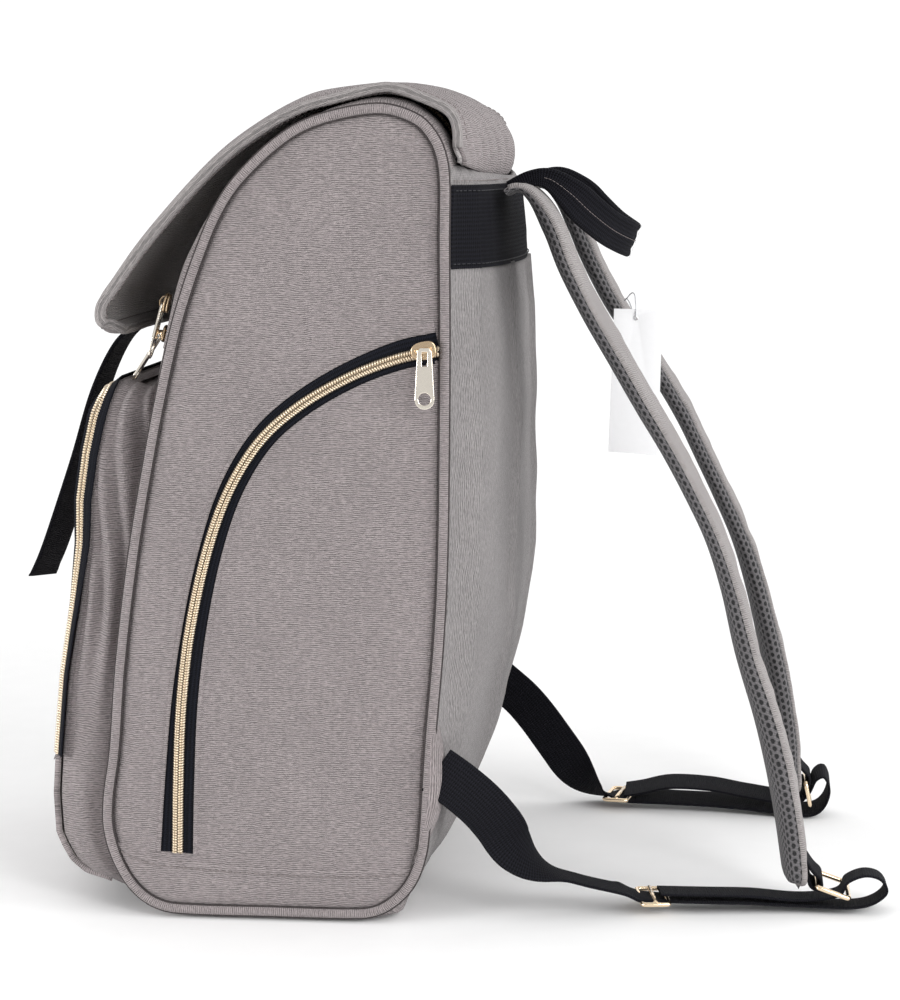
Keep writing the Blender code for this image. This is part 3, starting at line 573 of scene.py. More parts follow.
def side_x(y, z):
    """Height of the side panel's cloth at a point: a seam valley at the piping, then a soft dome."""
    d = max(to_pipe(y, z) - 0.0026, 0.0)
    x = HALF - 0.0022 + 0.0026 * (1 - math.exp(-d / 0.0016)) + 0.003 * (1 - math.exp(-d / 0.028))
    x += 0.0007 * wob(y, z, 0, 22, 3.1) * min(d / 0.02, 1)
    # a shallow dent beside the strap's corner tab
    return x - 0.0022 * math.exp(-(((y - 0.06) / 0.01) ** 2 + ((z - 0.085) / 0.03) ** 2))


def side_points(line, lift):
    return np.array([(side_x(y, z) + lift, y, z) for y, z in line])


def mirror(points, s):
    p = np.array(points, float)
    p[..., 0] *= s
    return p


# top edge of the doubled cloth at the bottom of each side (Y, Z)
BASE_SEAM = [(-0.0915, 0.0385), (-0.083, 0.034), (-0.069, 0.0295), (-0.05, 0.028), (-0.02, 0.0262),
             (0.017, 0.0255), (0.045, 0.0265), (0.0665, 0.028)]


def side_panels():
    centre = np.array((-0.004, 0.2))
    rings = np.r_[np.linspace(0.0, 0.86, 26)[1:], np.linspace(0.885, 0.99, 14), 1.0]
    ring = curve(PIPE, 240, closed=True)
    for side, s in SIDES:
        verts, uv, faces = [], [], []
        for r in rings:
            for y, z in centre + (ring - centre) * r:
                verts.append((s * side_x(y, z), y, z))
                uv.append((y, z))
        n = len(ring)
        for k in range(len(rings) - 1):
            for i in range(n):
                j = (i + 1) % n
                faces.append((k * n + i, k * n + j, (k + 1) * n + j, (k + 1) * n + i))
        hub = len(verts)
        verts.append((s * side_x(*centre), *centre))
        uv.append(tuple(centre))
        faces += [(hub, (i + 1) % n, i) for i in range(n)]
        o = new_mesh("side_panel_" + side + "_cloth", verts, faces, uv, [CLOTH, LINING])
        outward(o, (0, 0, 0.2))
        thick(o, SHELL, -1, second=True)
        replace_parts(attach(o, "bag"), "side_panel_" + side)

        p3 = np.array([(s * (HALF - 0.0006), y, z) for y, z in PIPE_RING])
        sec = oval(0.0048, 0.0064, 18, 2.3)
        o = sweep("piping_" + side + "_cord", p3, (1, 0, 0), [(b, a) for a, b in sec], [CLOTH_PIPE], closed=True)
        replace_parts(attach(o, "bag"), "piping_" + side)
        # dark seam thread in the valley on each side of the piping, near black as dark stitching and painted shade of
        # the groove
        t = unit(np.roll(PIPE_RING, -1, 0) - np.roll(PIPE_RING, 1, 0))
        nrm = np.stack([t[:, 1], -t[:, 0]], 1)
        nrm *= 1 if ((PIPE_RING[0] - centre) @ nrm[0]) > 0 else -1
        seams = []
        for off, x in ((-0.0025, HALF + 0.0003), (0.0025, HALF + 0.0001)):
            line = np.array([(s * x, y, z) for y, z in PIPE_RING + nrm * off])
            seams.append(sweep("seam", line, (1, 0, 0), oval(0.001, 0.001, 6), [SEAM_THREAD_AND_SHADE], closed=True))
        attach(join("side_seams_" + side, seams), "bag")

        base_patch(side, s)
        side_zip(side, s)


def base_patch(side, s):
    """Doubled cloth over the bottom of the side panel, with its folded top edge and a row of stitches."""
    seam = curve(BASE_SEAM, 70)
    low = []
    lower = PIPE_RING[PIPE_RING[:, 1] < 0.05]
    for y, z in seam:
        near = lower[np.abs(lower[:, 0] - y) < 0.004]
        low.append(min(near[:, 1]) + 0.0028 if len(near) else z - 0.004)
    rows = []
    for t in np.linspace(0, 1, 16):
        row = []
        for (y, z), b in zip(seam, low):
            zz = z + (min(b, z - 0.0015) - z) * t
            edge = 0.0011 * min(t * 26, 1) ** 0.5
            row.append((s * (side_x(y, zz) + 0.0001 + edge), y, zz))
        rows.append(row)
    rows = np.array(rows)
    o = grid("side_base_patch_" + side + "_cloth", rows, [CLOTH], uv=rows[..., 1:])
    outward(o, (0, 0, 0.03))
    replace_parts(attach(o, "bag"), "side_base_patch_" + side)
    line = [(s * (side_x(y, z) + 0.0014), y, z - 0.0028) for y, z in seam[2:-2]]
    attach(stitches("base_stitches_" + side, line, (s, 0, 0), THREAD), "bag")


def coil(name, path, normal, width, height, pitch=0.00135):
    """Two meshed rows of zip teeth along a path, as one ribbed strip with painted shade in the gaps."""
    p = np.asarray(path, float)
    s = lengths(p)
    at = np.linspace(0, s[-1], int(s[-1] / (pitch / 8)))  # eight rows to a tooth
    q = lerp(at, s, p)
    nn = unit(lerp(at, s, np.broadcast_to(np.asarray(normal, float), p.shape)))
    t = tangents(q)
    w = unit(np.cross(nn, t))
    nn = np.cross(t, w)
    width = np.interp(at, s, np.broadcast_to(width, len(p)))[:, None, None]
    v = np.array([-1.0, -0.86, -0.64, -0.42, -0.2, -0.06, 0.06, 0.2, 0.42, 0.64, 0.86, 1.0])
    dome = np.array([0.0, 0.55, 0.92, 1.0, 0.86, 0.6, 0.6, 0.86, 1.0, 0.92, 0.55, 0.0])
    side = np.sign(v)
    phase = at[:, None] / pitch + 0.25 * side[None] + 0.42 * np.abs(v)[None]
    tooth = np.abs(np.cos(np.pi * phase)) ** 0.7
    high = height * dome[None] * (0.42 + 0.58 * tooth)
    out = q[:, None] + w[:, None] * v[None, :, None] * width / 2 + nn[:, None] * high[..., None]
    # painted shade: darker between the teeth, down the middle where the rows mesh and towards the strip's edges
    shade = (tooth * np.minimum(dome + 0.2, 1)[None]) * np.where(np.abs(v) < 0.1, 0.45, 1)[None]
    o = grid(name, out, [COIL], colour=shade.ravel())
    return outward(o, None)


def face_towards(o, direction):
    """Turns a sheet's faces so that most look along a direction."""
    total = sum((Vector(direction).dot(f.normal) * f.area for f in o.data.polygons))
    if total < 0:
        o.data.flip_normals()
    return o


def side_zip(side, s):
    """Tape, coil and folded cloth edges; how much tape shows on each side varies along the curve."""
    count = 200
    line = curve(SIDE_ZIP, count)
    at = np.linspace(0, 1, count)
    stations = [0, 0.12, 0.3, 0.5, 0.66, 0.82, 1]
    outer = np.interp(at, stations, [0.0066, 0.0048, 0.0034, 0.0014, 0.0012, 0.003, 0.0058])
    inner = np.interp(at, stations, [0.003, 0.003, 0.0034, 0.0048, 0.0056, 0.0056, 0.0052])
    wide = np.interp(at, [0, 0.2, 0.5, 1], [0.006, 0.0056, 0.0058, 0.006])
    n = normals(line)
    if n[count // 2][0] > 0:
        n = -n
    mid = line + n * ((inner - outer) * 0.5)[:, None]

    def strip(offs, lifts):
        rows = []
        for i in range(count):
            row = []
            for off, lift in zip(offs(i), lifts):
                y, z = mid[i] + n[i] * off
                if to_pipe(y, z) < 0.003:
                    lift = min(lift, 0.0) - 0.0012
                row.append((s * (side_x(y, z) + lift), y, z))
            rows.append(row)
        return np.array(rows)

    hem = 0.001  # the tape goes this far under the cloth edges
    rows = strip(lambda i: np.linspace(-wide[i] / 2 - inner[i] - hem, wide[i] / 2 + outer[i] + hem, 7),
                 [0.0003] * 7)
    o = face_towards(grid("side_zip_tape_" + side + "_weave", rows, [TAPE]), (s, 0, 0))
    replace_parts(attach(o, "bag"), "side_zip_tape_" + side)
    c = coil("side_zip_coil_" + side + "_teeth", mirror(side_points(mid, 0.0005), s), (s, 0, 0), wide, 0.0019)
    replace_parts(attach(face_towards(c, (s, 0, 0)), "bag"), "side_zip_coil_" + side)
    parts = []
    for k, gap in ((1, outer), (-1, inner)):
        reach = (0.0, -0.0002, 0.0002, 0.0012, 0.003, 0.006, 0.0078)
        lifts = (0.0003, 0.0009, 0.0013, 0.00145, 0.0011, 0.0004, -0.0004)
        rows = strip(lambda i: [(wide[i] / 2 + gap[i] + r) * k for r in reach], lifts)
        parts.append(face_towards(grid("lip", rows, [CLOTH], uv=rows[..., 1:]), (s, 0, 0)))
        path = []
        for i in range(count):
            y, z = mid[i] + n[i] * (wide[i] / 2 + gap[i] + 0.0022) * k
            if to_pipe(y, z) > 0.0045:
                path.append((s * (side_x(y, z) + 0.0013), y, z))
        parts.append(stitches("lip_stitch", path, (s, 0, 0), THREAD_SOFT, sink=0.0002))
    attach(join("side_zip_edges_" + side, parts), "bag")
    side_slider(side, s)


def plate_from(name, loops, thickness, bevel, mat, matrix):
    """A flat metal plate with holes: loops are outlines in its own XY plane, then placed by a matrix."""
    cu = bpy.data.curves.new(name, "CURVE")
    cu.dimensions = "2D"
    cu.fill_mode = "BOTH"
    cu.extrude = thickness / 2 - bevel
    cu.bevel_depth = bevel
    cu.bevel_resolution = 3
    for loop in loops:
        sp = cu.splines.new("POLY")
        sp.points.add(len(loop) - 1)
        for pt, (x, y) in zip(sp.points, loop):
            pt.co = (x, y, 0, 1)
        sp.use_cyclic_u = True
    tmp = bpy.data.objects.new(name + "_c", cu)
    bpy.context.scene.collection.objects.link(tmp)
    bpy.context.view_layer.update()
    me = bpy.data.meshes.new_from_object(tmp.evaluated_get(bpy.context.evaluated_depsgraph_get()))
    bpy.data.objects.remove(tmp)
    me.transform(matrix)
    me.materials.clear()
    me.materials.append(mat)
    me.shade_smooth()
    me.set_sharp_from_angle(angle=math.radians(50))
    o = bpy.data.objects.new(name, me)
    bpy.context.scene.collection.objects.link(o)
    bm = bmesh.new()
    bm.from_mesh(me)
    bmesh.ops.remove_doubles(bm, verts=bm.verts, dist=1e-6)
    bmesh.ops.recalc_face_normals(bm, faces=bm.faces)
    bm.to_mesh(me)
    bm.free()
    return o


def round_rect(w, h, r, cx=0.0, cy=0.0, n=6):
    out = []
    for sx, sy, a0 in ((1, 1, 0), (-1, 1, 90), (-1, -1, 180), (1, -1, 270)):
        for k in range(n + 1):
            a = math.radians(a0 + 90 * k / n)
            out.append((cx + sx * (w / 2 - r) + r * math.cos(a), cy + sy * (h / 2 - r) + r * math.sin(a)))
    return out


def pull_loops(length=0.029, wide=0.0104, narrow=0.0078):
    """Outline and two holes of a zip pull hanging down its own -Y from the origin."""
    r = wide / 2
    low = -length + r
    outer = [(-narrow / 2 + 0.0012, 0.001), (narrow / 2 - 0.0012, 0.001), (narrow / 2, -0.0004)]
    outer += [(r * math.cos(a), low - r * math.sin(a)) for a in np.linspace(0, math.pi, 25)]
    outer += [(-narrow / 2, -0.0004)]
    hole = round_rect(narrow * 0.52, 0.0078, 0.0008, 0, -0.004)
    eye = [(0.0034 * math.cos(a), low + 0.0002 + 0.0034 * math.sin(a)) for a in np.linspace(0, 2 * math.pi, 33)[:-1]]
    return [outer, hole, eye]


def slider_body(name, w, h, t, matrix):
    """A zip slider: waisted top plate, lower plate and the bridge that holds the pull."""
    out = []
    for k in range(40):
        a = 2 * math.pi * k / 40
        c, s = math.cos(a), math.sin(a)
        x = math.copysign(abs(c) ** 0.55, c) * h / 2
        waist = 1.0 - 0.3 * (1 + math.copysign(1, c)) * 0.5 * abs(c)
        out.append((x, math.copysign(abs(s) ** 0.6, s) * w / 2 * waist))
    top = plate_from("top", [out], t * 0.42, t * 0.16, BRONZE, matrix @ Matrix.Translation((0, 0, t * 0.3)))
    low = plate_from("low", [[(x * 0.96, y * 0.9) for x, y in out]], t * 0.3, t * 0.1, BRONZE,
                     matrix @ Matrix.Translation((0, 0, -t * 0.12)))
    arch = np.array([(-h * 0.34, 0, t * 0.45), (-h * 0.3, 0, t * 0.85), (-h * 0.1, 0, t * 1.12),
                     (h * 0.12, 0, t * 1.1), (h * 0.3, 0, t * 0.82), (h * 0.34, 0, t * 0.45)])
    arch = curve(arch, 20)
    arch = np.array([matrix @ Vector(p) for p in arch])
    across = matrix.to_3x3() @ Vector((0, 1, 0))
    bridge = sweep("bridge", arch, tuple(across), oval(w * 0.3, 0.0009, 12, 3), [BRONZE])
    o = join(name, [top, low, bridge])
    o.data.set_sharp_from_angle(angle=math.radians(40))
    return o


def joint_at(name):
    return Vector(next(q for q in frame["joints"] if q["name"] == name)["pos_m"])


def axes_matrix(x, y, z, at):
    m = Matrix((x, y, z)).transposed().to_4x4()
    m.translation = Vector(at)
    return m


def side_slider(side, s):
    lo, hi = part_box("side_slider_" + side)
    y, z = (lo.y + hi.y) / 2, (lo.z + hi.z) / 2
    line = curve(SIDE_ZIP, 160)
    i = int(np.argmin(((line - (y, z)) ** 2).sum(1)))
    d = unit(line[i + 1] - line[i - 1])
    x = s * (side_x(y, z) + 0.0034)
    along = Vector((0, float(d[0]), float(d[1])))
    out = Vector((s, 0, 0))
    m = axes_matrix(along, out.cross(along), out, (x, line[i][0] + 0.003, line[i][1] + 0.0004))
    o = slider_body("side_slider_" + side + "_body", 0.0078, 0.0112, 0.0038, m)
    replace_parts(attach(o, "side_slider_body_" + side), "side_slider_" + side)
    px = s * (side_x(y, z) + 0.008)
    m = axes_matrix(Vector((0, s, 0)), Vector((0, 0, 1)), Vector((s, 0, 0)), (px, y + 0.0036, z))
    o = plate_from("side_pull_" + side + "_tab", pull_loops(0.0282, 0.009, 0.0064), 0.0014, 0.00035, GOLD, m)
    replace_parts(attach(o, "side_pull_body_" + side), "side_pull_" + side)


def pipe_outer_at(q):
    """Outer edge of the piping nearest a Y-Z point."""
    i = int(np.argmin(((PIPE_RING - q) ** 2).sum(1)))
    t = unit(PIPE_RING[(i + 1) % len(PIPE_RING)] - PIPE_RING[i - 1])
    m = np.array((t[1], -t[0]))
    if m @ (PIPE_RING[i] - BODY_CENTRE) < 0:
        m = -m
    return PIPE_RING[i] + m * 0.002


def skin(name, line, x0, x1, cols, mats, extra=None):
    """Cloth across the bag along a Y-Z line, tucked into the piping seam where it reaches it."""
    line = np.asarray(line)
    n = normals(line, BODY_CENTRE)
    tuck = np.array([pipe_outer_at(q) for q in line])
    xs = x0 + (x1 - x0) * (0.5 - 0.5 * np.cos(np.linspace(0, math.pi, cols)))
    rows = []
    for i, q in enumerate(line):
        row = []
        for x in xs:
            k = np.clip((SEAM_X - abs(x)) / 0.014, 0, 1)
            f = math.sqrt(max(1 - (1 - k) ** 2, 0))
            row.append((x, *(tuck[i] + (q - tuck[i]) * f + n[i] * (extra(x, q[1]) if extra else 0.0))))
        rows.append(row)
    return outward(grid(name, rows, mats), (0, 0, 0.2))


def body_skins():
    line = curve(np.vstack([OUTLINE[-2:], OUTLINE[:13]]), 200)
    line[:, 1] = np.maximum(line[:, 1], 0.0)
    o = skin("front_and_bottom_cloth", line, -SEAM_X, SEAM_X, 60, [CLOTH_TWILL, LINING],
             lambda x, z: 0.0008 * wob(x, z, 0, 30, 1.7) if z > 0.02 else 0.0)
    thick(o, SHELL, -1, second=True)
    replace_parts(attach(o, "bag"), "front_panel", "bottom_panel")
    mouth = curve(OUTLINE[12:26], 150)
    gusset = curve(OUTLINE[12:27], 160)
    for side, s in SIDES:
        a, b = sorted((s * GUSSET_X, s * SEAM_X))
        o = skin("mouth_gusset_" + side + "_cloth", gusset, a, b, 12, [CLOTH, LINING])
        thick(o, SHELL, -1, second=True)
        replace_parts(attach(o, "bag"), "mouth_gusset_" + side)
    o = skin("top_panel_cloth", mouth[8:-3], -PANEL_X, PANEL_X, 40, [CLOTH, LINING],
             lambda x, z: 0.0012 * wob(x, z, 0, 25, 5.2) - 0.0006)
    thick(o, 0.0028, -1, second=True)
    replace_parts(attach(o, "top_panel"), "zip_panel")
    main_zip(mouth)


def u_path(line, x, drop):
    """Up one side of the mouth, across its front and down the other, rounded at the corners."""
    line = np.asarray(line)
    s = lengths(line)
    r, end, step = 0.012, s[-1] - 0.003, 0.0016  # corner radius, rear end, spacing
    pts, nrm = [], []
    n = normals(line, BODY_CENTRE)

    def add(xx, d):
        pts.append((xx, *lerp(d, s, line)))
        nrm.append((0, *unit(lerp(d, s, n))))

    for d in np.arange(end, drop + r, -step):
        add(x, d)
    for a in np.linspace(0, math.pi / 2, 10):
        add(x - r + r * math.cos(a), drop + r - r * math.sin(a))
    for xx in np.linspace(x - r - 0.004, -x + r + 0.004, 70):
        add(xx, drop)
    for a in np.linspace(math.pi / 2, 0, 10):
        add(-(x - r + r * math.cos(a)), drop + r - r * math.sin(a))
    for d in np.arange(drop + r + step, end, step):
        add(-x, d)
    return np.array(pts), unit(np.array(nrm))


def strip_on(name, path, normal, w0, w1, lift, mat, body):
    """A flat tape beside a path: from w0 to w1 across it."""
    across = unit(np.cross(normal, tangents(path)))
    k = np.linspace(w0, w1, 4)
    rows = path[:, None] + across[:, None] * k[None, :, None] + normal[:, None] * lift
    o = grid(name, rows, [mat])
    thick(o, 0.0006, -1)
    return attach(o, body)


def main_zip(mouth):
    path, nrm = u_path(mouth, MAIN_ZIP_X, 0.003)
    c = coil("main_zip_coil_teeth", path + nrm * 0.0004, nrm, 0.005, 0.0017)
    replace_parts(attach(c, "bag"), "main_zip_coil")
    o = strip_on("main_zip_tape_bag", path, nrm, 0.0, 0.01, 0.0001, TAPE, "bag")
    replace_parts(o, "main_zip_tape")
    o = strip_on("main_zip_tape_panel", path, nrm, -0.0105, -0.0026, 0.0001, TAPE, "top_panel")
    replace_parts(o, "panel_zip_tape")
    for k, letter, fall in (("1", "a", (0, -0.55, -0.835)), ("2", "b", (0, -0.27, -1))):
        lo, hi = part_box("main_slider_" + k)
        c = (lo + hi) / 2
        j = int(np.argmin(((path - np.array(c)) ** 2).sum(1)))
        n = Vector(nrm[j])
        along = Vector((-1, 0, 0)) if k == "1" else Vector(unit(path[j - 1] - path[j + 1]))
        m = axes_matrix(along, n.cross(along), n, c + n * 0.0006)
        o = slider_body("main_slider_" + k + "_body", 0.0078, 0.0092, 0.0036, m)
        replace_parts(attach(o, "main_slider_" + letter), "main_slider_" + k)
        down = Vector(fall).normalized()
        m = axes_matrix(X, -down, X.cross(-down), joint_at("main_pull_swing_" + letter) + down * 0.0012)
        o = plate_from("main_pull_" + k + "_tab", pull_loops(0.028, 0.0088, 0.007), 0.0013, 0.0003, GOLD, m)
        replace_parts(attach(o, "main_pull_" + letter), "main_pull_" + k)


# ---------------------------------------------------------------- back
REAR = sorted((z, y) for y, z in OUTLINE[::-1][:12])
BACK_RIM = np.array([0.107, 0.1125, 0.117, 0.122, 0.1265, 0.13, 0.1325, 0.134])
BACK_COLUMNS = np.r_[-BACK_RIM[::-1], np.linspace(-0.098, 0.098, 61), BACK_RIM]
CHANNEL_X = 0.1105  # sewn valley near each edge of the padding
RIDGE_X = 0.052  # two soft vertical ridges


def table(rows, v):
    return float(np.interp(v, [r[0] for r in rows], [r[1] for r in rows]))


def back_y(x, z):
    """The padded back: a side wall that rises from the piping, then a softly crowned panel."""
    a = abs(x)
    rise = smoothstep(0.134, 0.112, a) if a < 0.134 else 0.0
    crown = 1 - np.clip(a / 0.112, 0, 1) ** 2.2
    return table(REAR, z) - 0.001 + table(BACK_BULGE, z) * (0.6 * rise + 0.4 * crown)


def back_piece(name, z0, z1, rows, lift, mats, t, ripple=0.0, ridge=0.0, dip=0.0):
    """A padded piece across the back between two heights; dip lowers its top edge in the middle."""
    pts = []
    for level in np.linspace(z0, z1, rows):
        row = []
        for x in BACK_COLUMNS:
            z = level - dip * (1 - (x / 0.134) ** 2) * (level - z0) / (z1 - z0)
            y = back_y(x, z) + lift + ripple * wob(x, z, 0, 26, 8.3)
            y -= 0.0032 * math.exp(-((abs(x) - CHANNEL_X) / 0.0034) ** 2)
            y += ridge * math.exp(-((abs(x) - RIDGE_X - 0.01 * wob(z, 3.0, 0, 9, 1.1)) / 0.005) ** 2)
            row.append((x, y, z))
        pts.append(row)
    o = outward(grid(name, pts, mats, swap=True), (0, 0, 0.2))
    thick(o, t, -1, second=True)
    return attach(o, "bag")


def back():
    o = back_piece("back_panel_cloth", 0.008, 0.327, 90, 0.0, [CLOTH_BACK, LINING], 0.004, 0.0018, 0.0034)
    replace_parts(o, "back_panel")
    o = back_piece("back_band_webbing", 0.3262, 0.3668, 22, 0.0014, [BLACK, LINING], 0.003, 0.0007)
    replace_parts(o, "back_webbing_band")
    o = back_piece("back_top_cloth", 0.3664, 0.3775, 10, 0.0004, [CLOTH_BACK, LINING], 0.003, 0.003, dip=0.007)
    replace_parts(o, "back_top_band")
    for z, mat, lift in ((0.3285, THREAD_BLACK, 0.0018), (0.364, THREAD_BLACK, 0.0018), (0.3688, THREAD, 0.0006)):
        xs = np.linspace(-0.131, 0.131, 120)
        line = [(x, back_y(x, z) + lift, z) for x in xs]
        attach(stitches("back_stitches_%d" % round(z * 1e4), line, (0, 1, 0), mat), "bag")
    lo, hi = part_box("inner_pocket")
    pts = []
    for z in np.linspace(lo.z, hi.z, 30):
        k = (z - lo.z) / (hi.z - lo.z)
        pts.append([(x, lo.y + 0.0008 - 0.004 * k * (1 - (x / 0.11) ** 2) + 0.0006 * math.sin(x * 260) * k, z)
                    for x in np.linspace(lo.x, hi.x, 50)])
    o = outward(grid("inner_pocket_cloth", pts, [LINING]))
    thick(o, 0.0015, 0)
    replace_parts(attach(o, "bag"), "inner_pocket")
    frame["nodes"]["base_board"].data.materials.clear()
    frame["nodes"]["base_board"].data.materials.append(BOARD)


# ---------------------------------------------------------------- front pocket
POCKET_X = 0.118  # half width
POCKET_TOP = 0.265
POCKET_R = 0.012  # radius of its top corners
POCKET_FOOT = 0.0118
ACROSS = np.sin(np.linspace(-math.pi / 2, math.pi / 2, 46))  # columns, closer near both edges
BAG_FRONT = [(z, y) for y, z in OUTLINE[2:13]]


def edge_y(z):
    return table(FACE_EDGE, z)


def face_y(x, z):
    k = (1 - (x / POCKET_X) ** 2) * (1 - np.clip((z - 0.215) / 0.05, 0, 1) ** 2)
    return edge_y(z) - 0.01 * k - 0.0035 * k * math.sin(math.pi * np.clip((z - 0.08) / 0.19, 0, 1)) * 0.5


def corner_half(z):
    """Half width of the pocket's face at a height, with its rounded top corners."""
    r, d = POCKET_R, POCKET_TOP - z
    return POCKET_X - (r - math.sqrt(max(r * r - (r - d) ** 2, 0))) if d < r else POCKET_X


def pocket_outline(foot, up, turn, top_from, across):
    """X-Z points up the right side, over the rounded corner, across the top and down the left side."""
    r = POCKET_R
    pts = [(POCKET_X, z) for z in np.linspace(foot, POCKET_TOP - r, up)]
    pts += [(POCKET_X - r + r * math.cos(a), POCKET_TOP - r + r * math.sin(a))
            for a in np.linspace(0, math.pi / 2, turn)[1:]]
    pts += [(x, POCKET_TOP) for x in np.linspace(top_from, 0, across)]
    return np.array(pts + [(-x, z) for x, z in pts[-2::-1]])


def pocket():
    rows = []
    for z in np.linspace(0.0775, 0.2628, 60):
        h = corner_half(z) - 0.0045
        rows.append([(x, face_y(x, z) + 0.001 + 0.001 * wob(x, z, 0, 24, 4.4), z)
                     for x in h * ACROSS])
    o = outward(grid("front_pocket_face_cloth", rows, [CLOTH_TWILL, LINING]), (0, 0, 0.15))
    thick(o, SHELL, -1, second=True)
    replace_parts(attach(o, "bag"), "front_pocket_face")
    rows = []
    for z in np.r_[np.linspace(POCKET_FOOT, 0.02, 10), np.linspace(0.023, 0.0782, 24)]:
        rows.append([(x, face_y(x, z) - (0.0012 if z < 0.0775 else 0.0004), z)
                     for x in (POCKET_X + 0.0006) * ACROSS])
    o = outward(grid("front_pocket_base_cloth", rows, [CLOTH, LINING]), (0, 0, 0.05))
    thick(o, SHELL, -1, second=True)
    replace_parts(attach(o, "bag"), "front_pocket_base")
    line = [(x, face_y(x, 0.0752) - 0.0016, 0.0752) for x in np.linspace(-POCKET_X, POCKET_X, 80)]
    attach(stitches("pocket_base_stitches", line, (0, -1, 0), THREAD), "bag")
    # the wall: both sides and the top in one strip, puckered where it meets the bag near its top
    path = pocket_outline(POCKET_FOOT, 50, 10, POCKET_X - 0.016, 30)
    rows = []
    for (x, z), m in zip(path, normals(path)):
        f = edge_y(z) + 0.003
        b = table(BAG_FRONT, min(max(z, 0.013), 0.3)) + 0.0015
        row = []
        for k in np.linspace(0, 1, 18):
            puff = 0.005 * math.sin(math.pi * k) + 0.004 * k * smoothstep(0.02, 0.1, z) * (abs(x) > 0.1)
            pucker = 0.0018 * smoothstep(0.2, 0.262, z) * math.sin(k * 9 + 150 * z) * k * 1.4
            ww = puff + pucker + 0.0008 * wob(k, z * 6, x, 5, 6.1)
            fold = 0.0034 * smoothstep(0.09, 0.16, z) * math.sin(16 * k + 42 * z + 2.5 * math.sin(30 * z))
            fold *= math.sin(math.pi * k)
            tuck = 0.01 * k * k * smoothstep(0.205, 0.243, z) * (abs(x) > 0.1)
            ww += fold - tuck
            row.append((x + m[0] * ww, f + (b - f) * k, z + m[1] * ww * (0.0 if abs(x) < 0.1 else 0.3)))
        rows.append(row)
    o = outward(grid("front_pocket_wall_cloth", rows, [CLOTH_TWILL, LINING]), (0, -0.09, 0.15))
    thick(o, 0.0022, -1, second=True)
    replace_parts(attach(o, "bag"), "front_pocket_gusset")
    pocket_zip()


def pocket_zip():
    pts = pocket_outline(0.078, 60, 12, POCKET_X - 0.014, 40)
    side = np.array([(m[0], 0, m[1]) for m in normals(pts)])
    front = np.array((0, -1.0, 0))
    low = smoothstep(0.215, 0.135, np.array([z for x, z in pts]))[:, None]
    path = np.array([(x, edge_y(z) + 0.0004, z) for x, z in pts]) - side * low * 0.001 + front * low * 0.0006
    nrm = unit(side * (0.85 - 0.35 * low) + front * (0.5 + 0.35 * low))
    c = coil("front_zip_coil_teeth", path + side * 0.0002, nrm, 0.0062, 0.0018)
    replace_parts(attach(c, "bag"), "front_zip_coil")
    across = unit(np.cross(nrm, tangents(path)))
    sign = 1 if (across[10] @ (0, 1, 0)) > 0 else -1
    rows = path[:, None] + across[:, None] * (np.linspace(-0.005, 0.0072, 8) * sign)[None, :, None]
    rows = rows - nrm[:, None] * 0.0002 + side[:, None] * np.linspace(0, 0.0022, 8)[None, :, None]
    o = grid("front_zip_tape_weave", rows, [TAPE])
    thick(o, 0.0007, 0)
    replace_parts(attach(o, "bag"), "front_zip_tape")
    # turned cloth edge behind the tape with its stitches
    rows = []
    line = []
    for (x, z), m in zip(pts, side):
        y = edge_y(z)
        row = []
        shut = -0.0016 * smoothstep(0.215, 0.1, z)
        for dy, w in ((0.0052, 0.0016), (0.005, 0.003), (0.0056, 0.0036), (0.0072, 0.004), (0.01, 0.0038),
                      (0.0135, 0.0018)):
            row.append((x + m[0] * w, y + dy + shut, z + m[2] * w))
        rows.append(row)
        line.append((x + m[0] * 0.0041, y + 0.0078 + shut, z + m[2] * 0.0041))
    lip = outward(grid("front_zip_edge_cloth", rows, [CLOTH_TWILL]), (0, -0.09, 0.15))
    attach(lip, "bag")
    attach(stitches("front_zip_stitches", line, side, THREAD_SOFT), "bag")
    lo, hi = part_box("front_slider")
    c = (lo + hi) / 2
    i = int(np.argmin(((path - np.array((-POCKET_X, c.y, c.z))) ** 2).sum(1)))
    n = Vector((-0.45, -0.9, 0)).normalized()
    along = Vector(unit(path[i + 1] - path[i - 1]))
    m = axes_matrix(along, n.cross(along), n, Vector((0.001 - POCKET_X, edge_y(c.z) - 0.0022, c.z)))
    o = slider_body("front_slider_body_metal", 0.0078, 0.0095, 0.0032, m)
    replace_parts(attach(o, "front_slider_body"), "front_slider")
    up = Vector((0, 0.12, 1)).normalized()
    m = axes_matrix(X, up, X.cross(up), joint_at("front_pull_swing") + Vector((0.001, -0.0006, 0)))
    o = plate_from("front_pull_tab", pull_loops(0.0275, 0.0088, 0.007), 0.0013, 0.0003, GOLD, m)
    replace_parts(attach(o, "front_pull_body"), "front_pull")


# ---------------------------------------------------------------- flap
FLAP_X = 0.1315  # half width
FLAP_R = 0.018  # radius of its front corners
SEAM_DIP = 0.007  # the rear seam hangs this much lower at its middle, so the flap folds back clear of the cloth below
# distance out from the middle, how it leans with the distance forward, and how fast it fades
PLEATS = [(0.119, 0.3, 0.06), (0.105, -0.5, 0.08), (0.087, 0.5, 0.1), (0.066, -0.3, 0.07), (0.04, 0.4, 0.09),
          (0.012, 0.3, 0.06)]


